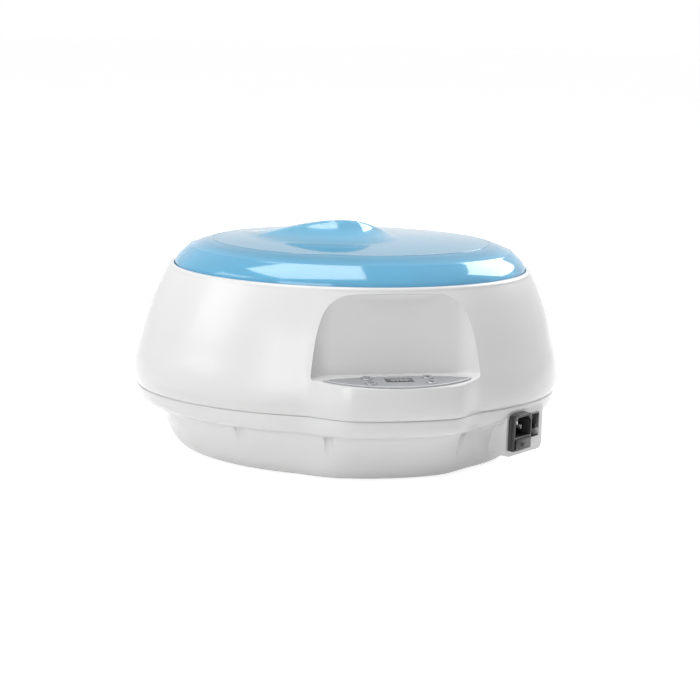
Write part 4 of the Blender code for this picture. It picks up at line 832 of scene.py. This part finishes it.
def handle_rise(x, y):
    """The wave that stands on the lid: long along X, hollow in front and gentle behind."""
    half = HANDLE_LEFT if x < HANDLE_X else HANDLE_RIGHT
    along = abs(x - HANDLE_X) / half
    if along >= 1:
        return 0.0
    ahead = HANDLE_RIDGE_Y + HANDLE_BOW * along**2 - y
    reach = HANDLE_FRONT if ahead > 0 else HANDLE_BACK
    across = max(0.0, math.hypot(ahead, CREST_SOFT) - CREST_SOFT) / reach
    if across >= 1:
        return 0.0
    ridge = (1 - along**2) ** HANDLE_FALL_SHARE
    hollow = lerp(handle_face(across) - handle_face(1.0), (1 - across) ** LIP_POWER, LIP_SHARE)
    gentle = (1 + math.cos(math.pi * across)) / 2
    return HANDLE_RISE * ridge * (hollow if ahead > 0 else gentle)


def crease(inset, rise):
    """A fine groove that marks an edge moulded into the lid."""
    low = rise - CREASE
    return [(inset + CREASE, low), (inset + 2 * CREASE, low), (inset + 3 * CREASE, rise + CREASE / 2)]


def lid_levels():
    """Inset from the lid's edge and height above its seat, from the edge to the crown."""
    levels = [(SEAM_ROUND, 0.0), (0.0, SEAM_ROUND), (0.0, LID_EDGE_RISE)]
    for step in range(1, SKIRT_STEPS + 1):
        t = step / SKIRT_STEPS
        levels.append((LID_SKIRT_INSET * t**SKIRT_POWER, lerp(LID_EDGE_RISE, LID_SKIRT_RISE, t)))
    levels += crease(LID_SKIRT_INSET, LID_SKIRT_RISE)
    for step in range(1, PLATEAU_STEPS + 1):
        t = step / PLATEAU_STEPS
        inset = lerp(LID_SKIRT_INSET + 4 * CREASE, LID_PLATEAU_INSET, t)
        arch = t * (1 + PLATEAU_ARCH * (1 - t))
        levels.append((inset, lerp(LID_SKIRT_RISE + CREASE, LID_PLATEAU_RISE, arch)))
    levels += crease(LID_PLATEAU_INSET, LID_PLATEAU_RISE)
    for step in range(1, CROWN_STEPS + 1):
        t = lerp(CROWN_START_SHARE, CROWN_END_SHARE, step / CROWN_STEPS)
        rise = lerp(LID_PLATEAU_RISE, LID_CROWN_RISE, 1 - (1 - t) ** 2)
        levels.append((lerp(LID_PLATEAU_INSET, LID_HALF_Y, t), rise))
    return levels


def lid_ring(inset, rise, drop):
    ring = []
    for point in plain_ring(LID_HALF_X - inset, LID_HALF_Y - inset):
        lift = handle_rise(point.x, point.y - BODY_Y)
        ring.append(Vector((point.x, point.y, SEAT_Z + GAP + rise + lift - drop)))
    return ring


def cap_oval(mesh, row, upward):
    """Closes a slim oval with a strip of faces that pairs its two long sides."""
    count = len(row)
    for i in range(count // 2):
        face = [row[i], row[i + 1], row[count - 1 - i], row[(count - i) % count]]
        face = [vert for place, vert in enumerate(face) if vert not in face[:place]]
        if len(face) > 2:
            mesh.faces.new(face if upward else list(reversed(face)))


def loft_shell(rings, turn):
    """Skins an outer run of rings and an inner run that comes back, capped at the crown."""
    mesh = bmesh.new()
    rows = [[mesh.verts.new(point) for point in ring] for ring in rings]
    count = len(rows[0])
    for index, low in enumerate(rows):
        high = rows[(index + 1) % len(rows)]
        if index == turn - 1:
            cap_oval(mesh, low, True)
            cap_oval(mesh, high, False)
            continue
        for i in range(count):
            mesh.faces.new((low[i - 1], low[i], high[i], high[i - 1]))
    return mesh


def build_lid():
    """A clear blue shell that sits inside the rim, with a wave to lift it by."""
    levels = lid_levels()
    rings = [lid_ring(inset, rise, 0.0) for inset, rise in levels]
    inner = [lid_ring(LID_THICK, 0.0, 0.0)]
    for inset, rise in levels[2:]:
        inner.append(lid_ring(min(inset + LID_THICK, LID_HALF_Y - GAP), rise, LID_THICK))
    lid = add_object("lid_shell", loft_shell(rings + list(reversed(inner)), len(levels)))
    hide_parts("lid")
    finish_piece(lid, "lid", "clear_blue")


def overlay_outline(inset=0.0):
    """A lens whose front edge bows further than its back edge."""
    half = OVERLAY_HALF - inset
    front = []
    back = []
    for step in range(OVERLAY_STEPS + 1):
        x = -half * math.cos(math.pi * step / OVERLAY_STEPS)
        rise = max(0.0, 1 - (x / half) ** 2) ** OVERLAY_LENS_SHARE
        front.append((x, -(OVERLAY_FRONT_BOW - inset) * rise))
        back.append((-x, (OVERLAY_BACK_BOW - inset) * rise))
    return front + back[1:-1]


def build_overlay():
    place = ledge_frame()
    low = GAP + OVERLAY_THICK
    overlay = add_object("overlay_film", prism_mesh(overlay_outline(), GAP, low, place))
    cut(overlay, add_guide("overlay_openings", ledge_openings(OVERRUN)))
    settle(overlay)
    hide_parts("control_overlay")
    finish_piece(overlay, "body", "silver_film")
    high = low + PRINT_THICK
    outer = overlay_outline(PRINT_LINE)
    inner = overlay_outline(2 * PRINT_LINE)
    rings = [[place @ Vector((x, y, z)) for x, y in outline]
             for outline, z in ((outer, low), (outer, high), (inner, high), (inner, low))]
    border = add_object("overlay_border", loft_mesh(rings, closed=True))
    finish_piece(border, "body", "print_white")


def flat_ring(mesh, outer, inner, start, end):
    """A flat arc of ink, between two radii and two angles."""
    rows = []
    for step in range(ARC_STEPS + 1):
        turn = math.radians(lerp(start, end, step / ARC_STEPS))
        rows.append([mesh.verts.new((r * math.cos(turn), r * math.sin(turn), 0.0)) for r in (inner, outer)])
    for one, two in zip(rows, rows[1:]):
        mesh.faces.new((one[0], one[1], two[1], two[0]))


def flat_shape(mesh, points):
    mesh.faces.new([mesh.verts.new((x, y, 0.0)) for x, y in points])


def bar(mesh, x0, y0, x1, y1):
    flat_shape(mesh, box_corners(x0, x1, y0, y1))


def key_mark(name):
    """Plain marks in unit size: on and off, a clock, and two arrows."""
    mesh = bmesh.new()
    if name in KEY_ARCS:
        flat_ring(mesh, *KEY_ARCS[name])
    for corners in KEY_BARS.get(name, ()):
        bar(mesh, *corners)
    if name in KEY_ARROWS:
        flat_shape(mesh, KEY_ARROWS[name])
    return mesh


def print_height(name, place):
    """Just above a node's top, along the z of a place."""
    top = max((place.inverted() @ vert.co).z for vert in frame["nodes"][name].data.vertices)
    return top + PRINT_THICK / 2


def build_key_marks():
    place = ledge_frame()
    for name, (x, y) in key_places()[0].items():
        mesh = key_mark(name)
        spot = place @ Matrix.Translation((x, y, print_height(name, place)))
        mesh.transform(spot @ Matrix.Scale(KEY_RADIUS, 4))
        mark = add_object(name + "_mark", mesh)
        finish_piece(mark, name, "print_dark")


def build_figures():
    """Plain figures of seven strokes on the display."""
    mesh = bmesh.new()
    half_stroke = FIGURE_STROKE / 2
    for figure in FIGURES:
        left = figure * FIGURE_PITCH - FIGURE_HALF
        right = figure * FIGURE_PITCH + FIGURE_HALF
        for y in (-FIGURE_TALL, 0.0, FIGURE_TALL):
            bar(mesh, left + FIGURE_STROKE, y - half_stroke, right - FIGURE_STROKE, y + half_stroke)
        for x in (left, right):
            for low in (-FIGURE_TALL, 0.0):
                high = low + FIGURE_TALL - FIGURE_STROKE
                bar(mesh, x - half_stroke, low + FIGURE_STROKE, x + half_stroke, high)
    place = ledge_frame()
    spot = Matrix.Translation((0.0, key_places()[1], print_height("display_module", place)))
    mesh.transform(place @ spot)
    figures = add_object("display_figures", mesh)
    finish_piece(figures, "body", "print_white")


def build_lid_ribs():
    """Short ribs inside the lid's skirt, which show through it."""
    mesh = bmesh.new()
    half_x = LID_HALF_X - LID_THICK
    half_y = LID_HALF_Y - LID_THICK
    up = Vector((0.0, 0.0, (LID_SKIRT_RISE - LID_EDGE_RISE) * RIB_TOP_SHARE))
    for angle in RIB_ANGLES:
        turn = math.radians(angle)
        outward = Vector((math.cos(turn) / half_x, math.sin(turn) / half_y, 0.0)).normalized()
        side = Vector((-outward.y, outward.x, 0.0)) * RIB_WIDTH / 2
        foot = oval_point(half_x, half_y, turn, SEAT_Z + LID_EDGE_RISE) - outward * GAP
        top = foot - outward * LID_SKIRT_INSET / 2 + up
        ring = (foot, top, top - outward * RIB_DEPTH, foot - outward * RIB_DEPTH)
        loft_mesh([[point - side for point in ring], [point + side for point in ring]], mesh=mesh)
    ribs = add_object("lid_ribs", mesh)
    finish_piece(ribs, "lid", "rib_blue")


def finish_piece(piece, body, name):
    """Gives a piece its finish and its body."""
    piece.data.materials.clear()
    piece.data.materials.append(finish(name))
    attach(piece, body)


def surface(name):
    """A new material, its nodes and its shader."""
    made = bpy.data.materials.new(name)
    made.use_nodes = True
    nodes = made.node_tree.nodes
    return made, made.node_tree, nodes["Principled BSDF"]


def node(tree, kind, inputs=(), **settings):
    made = tree.nodes.new(kind)
    for key, value in dict(inputs).items():
        made.inputs[key].default_value = value
    for key, value in settings.items():
        setattr(made, key, value)
    return made


def noise(tree, scale, detail, stretch=EVEN):
    """Noise in the object's own space."""
    place = node(tree, "ShaderNodeTexCoord")
    spread = node(tree, "ShaderNodeMapping", {"Scale": stretch})
    pattern = node(tree, "ShaderNodeTexNoise", {"Scale": scale, "Detail": detail})
    tree.links.new(place.outputs["Object"], spread.inputs["Vector"])
    tree.links.new(spread.outputs["Vector"], pattern.inputs["Vector"])
    return pattern.outputs["Fac"]


def vary_color(tree, shader, fac, stops):
    """Colour by a ramp of (position, colour) stops, from the lowest to the highest."""
    ramp = node(tree, "ShaderNodeValToRGB")
    elements = ramp.color_ramp.elements
    for place, color in stops[1:-1]:
        elements.new(place).color = (*color, 1.0)
    for end in (0, -1):
        elements[end].position = stops[end][0]
        elements[end].color = (*stops[end][1], 1.0)
    tree.links.new(fac, ramp.inputs["Fac"])
    tree.links.new(ramp.outputs["Color"], shader.inputs["Base Color"])


def vary_roughness(tree, shader, fac, low, high):
    span = node(tree, "ShaderNodeMapRange", {"To Min": low, "To Max": high})
    tree.links.new(fac, span.inputs["Value"])
    tree.links.new(span.outputs["Result"], shader.inputs["Roughness"])


def bump(tree, shader, fac, strength, depth, edge=0.0):
    """Fine relief, with the hard edges rounded where edge is over zero."""
    relief = node(tree, "ShaderNodeBump", {"Strength": strength, "Distance": depth})
    tree.links.new(fac, relief.inputs["Height"])
    if edge > 0:
        soft = node(tree, "ShaderNodeBevel", {"Radius": edge}, samples=EDGE_SAMPLES)
        tree.links.new(soft.outputs["Normal"], relief.inputs["Normal"])
    tree.links.new(relief.outputs["Normal"], shader.inputs["Normal"])


def moulded(name, dark, light, rough, grain, relief, edge=0.0, coat=0.0, metallic=0.0, stretch=EVEN):
    """A moulded or milled surface: slight colour drift, uneven gloss and fine grain."""
    made, tree, shader = surface(name)
    drift = noise(tree, COLOR_DRIFT, FINE_DETAIL)
    vary_color(tree, shader, drift, ((DRIFT_START, dark), (DRIFT_END, light)))
    gloss = noise(tree, grain * GLOSS_GRAIN_SHARE, FINE_DETAIL, stretch)
    vary_roughness(tree, shader, gloss, *rough)
    bump(tree, shader, noise(tree, grain, COARSE_DETAIL, stretch), relief, RELIEF_DEPTH, edge)
    shader.inputs["Metallic"].default_value = metallic
    shader.inputs["Coat Weight"].default_value = coat
    shader.inputs["Coat Roughness"].default_value = COAT_ROUGHNESS
    return made


def lid_painted_shade(tree):
    """Height on the lid, for its painted shade: the top is painted darker, as if the dark inside of the bath
    showed through it most there.
    """
    place = node(tree, "ShaderNodeTexCoord")
    parts = node(tree, "ShaderNodeSeparateXYZ")
    low = SEAT_Z + LID_SKIRT_RISE - PAINTED_SHADE_BLEND
    high = SEAT_Z + LID_CROWN_RISE + HANDLE_RISE
    span = node(tree, "ShaderNodeMapRange", {"From Min": low, "From Max": high})
    drift = node(tree, "ShaderNodeMath", operation="MULTIPLY_ADD")
    drift.inputs[1].default_value = LID_DRIFT_SHARE
    tree.links.new(place.outputs["Object"], parts.inputs["Vector"])
    tree.links.new(parts.outputs["Z"], span.inputs["Value"])
    tree.links.new(noise(tree, LID_DRIFT, COARSE_DETAIL), drift.inputs[0])
    tree.links.new(span.outputs["Result"], drift.inputs[2])
    return drift.outputs["Value"]


def clear_blue():
    """The lid's clear plastic: blue, with painted shade that darkens its top by height, and a gloss on both
    faces.
    """
    made, tree, shader = surface("clear_blue")
    # Painted shade: a colour ramp by height darkens the lid's top
    vary_color(tree, shader, lid_painted_shade(tree), LID_PAINTED_SHADE_COLORS)
    vary_roughness(tree, shader, noise(tree, LID_GLOSS_GRAIN, COARSE_DETAIL), *LID_ROUGHNESS)
    bump(tree, shader, noise(tree, LID_RELIEF_GRAIN, COARSE_DETAIL), LID_RELIEF, LID_RELIEF_DEPTH)
    for key, value in LID_INPUTS.items():
        shader.inputs[key].default_value = value
    return made


def finish(name):
    """The finish of that name, made when it is first asked for."""
    found = bpy.data.materials.get(name)
    if found:
        return found
    return clear_blue() if name == "clear_blue" else moulded(name, **FINISHES[name])


def dress_nodes():
    """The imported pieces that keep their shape: smooth shading, small edge rounds and their finish."""
    for part in frame["record"]["subparts"]:
        name, slot = part["node"], part["material_slot"]
        thing = frame["nodes"][name]
        thing.data.materials.clear()
        thing.data.materials.append(finish(NODE_FINISHES.get(name, SLOT_FINISHES[slot])))
        if "custom_normal" in thing.data.attributes:
            thing.data.attributes.remove(thing.data.attributes["custom_normal"])
        thing.data.shade_smooth()
        thing.modifiers.new("weld", "WELD").merge_threshold = WELD_REACH
        if name in BEVELLED_NODES:
            bevel(thing)
        thing.modifiers.new("split", "EDGE_SPLIT").split_angle = SHARP_EDGE


def bevel(thing):
    """Merges flat faces, then rounds the edges between them."""
    flat = thing.modifiers.new("flat", "DECIMATE")
    flat.decimate_type = "DISSOLVE"
    flat.angle_limit = FLAT_FACE
    edge = thing.modifiers.new("edge", "BEVEL")
    edge.width = GAP
    edge.segments = BEVEL_STEPS
    edge.limit_method = "ANGLE"
    edge.angle_limit = BEVEL_EDGE


def seen_directly(tree):
    """One for what the camera sees itself, by reflection or through glass."""
    path = node(tree, "ShaderNodeLightPath")
    seen = path.outputs["Is Camera Ray"]
    for other in ("Is Glossy Ray", "Is Transmission Ray"):
        either = node(tree, "ShaderNodeMath", operation="MAXIMUM")
        tree.links.new(seen, either.inputs[0])
        tree.links.new(path.outputs[other], either.inputs[1])
        seen = either.outputs["Value"]
    return seen


def mix_seen(tree, lighting, seen, output):
    """One shader where it lights the bath, and the other where it is seen."""
    mix = node(tree, "ShaderNodeMixShader")
    tree.links.new(seen_directly(tree), mix.inputs["Fac"])
    tree.links.new(lighting, mix.inputs[1])
    tree.links.new(seen, mix.inputs[2])
    tree.links.new(mix.outputs["Shader"], output.inputs["Surface"])


def floor_paint():
    """Pale matt paint that looks white, apart from the shadow on it."""
    made, tree, shader = surface("floor_paint")
    drift = noise(tree, FLOOR_DRIFT, COARSE_DETAIL)
    vary_color(tree, shader, drift, ((DRIFT_START, FLOOR_DARK), (DRIFT_END, FLOOR_LIGHT)))
    shader.inputs["Roughness"].default_value = FLOOR_ROUGHNESS
    glow = node(tree, "ShaderNodeEmission", {"Strength": FLOOR_GLOW})
    add = node(tree, "ShaderNodeAddShader")
    tree.links.new(shader.outputs["BSDF"], add.inputs[0])
    tree.links.new(glow.outputs["Emission"], add.inputs[1])
    mix_seen(tree, shader.outputs["BSDF"], add.outputs["Shader"], tree.nodes["Material Output"])
    return made


def build_floor():
    mesh = bmesh.new()
    bmesh.ops.create_grid(mesh, x_segments=FLOOR_CELLS, y_segments=FLOOR_CELLS, size=FLOOR_REACH)
    floor = add_object("floor", mesh)
    floor.data.materials.append(floor_paint())


def build_world():
    world = bpy.data.worlds.new("studio")
    bpy.context.scene.world = world
    world.use_nodes = True
    tree = world.node_tree
    base = tree.nodes["Background"]
    base.inputs["Color"].default_value = WHITE
    base.inputs["Strength"].default_value = WORLD_LIGHT
    white = node(tree, "ShaderNodeBackground", {"Color": WHITE, "Strength": WORLD_SEEN})
    mix_seen(tree, base.outputs["Background"], white.outputs["Background"], tree.nodes["World Output"])


def direction(azimuth, elevation):
    """From the bath outward: azimuth 0 is in front of it, and 90 degrees at its right."""
    flat = math.cos(elevation)
    return Vector((math.sin(azimuth) * flat, -math.cos(azimuth) * flat, math.sin(elevation)))


def area_light(name, azimuth, elevation, distance, width, height, power, spin=0):
    """A softbox that faces the bath."""
    lamp = bpy.data.lights.new(name, "AREA")
    lamp.shape = "RECTANGLE"
    lamp.size = width
    lamp.size_y = height
    lamp.energy = power
    thing = bpy.data.objects.new(name, lamp)
    bpy.context.collection.objects.link(thing)
    away = direction(math.radians(azimuth), math.radians(elevation))
    thing.location = Vector((0.0, BODY_Y, CAMERA_TARGET_Z)) + away * distance
    facing = away.to_track_quat("Z", "Y").to_matrix().to_4x4()
    thing.rotation_euler = (facing @ Matrix.Rotation(math.radians(spin), 4, "Z")).to_euler()


def build_lights():
    for name, values in LIGHTS.items():
        area_light(name, **values)


def build_camera():
    data = bpy.data.cameras.new("camera")
    data.sensor_width = SENSOR
    data.lens = CAMERA_FOCAL / PICTURE * SENSOR
    data.shift_x = -PICTURE_RIGHT / PICTURE
    data.shift_y = PICTURE_DOWN / PICTURE
    camera = bpy.data.objects.new("camera", data)
    bpy.context.collection.objects.link(camera)
    back = direction(CAMERA_AZIMUTH, CAMERA_ELEVATION)
    camera.location = Vector((0.0, BODY_Y, CAMERA_TARGET_Z)) + back * CAMERA_DISTANCE
    level = (-back).to_track_quat("-Z", "Y").to_matrix().to_4x4()
    camera.rotation_euler = (level @ Matrix.Rotation(CAMERA_ROLL, 4, "Z")).to_euler()
    bpy.context.scene.camera = camera


def main():
    bpy.context.scene.view_settings.view_transform = "Standard"
    build_camera()
    build_world()
    build_lights()
    build_floor()
    dress_nodes()
    build_housing()
    build_base()
    build_lid()
    build_overlay()
    build_key_marks()
    build_figures()
    build_lid_ribs()


main()
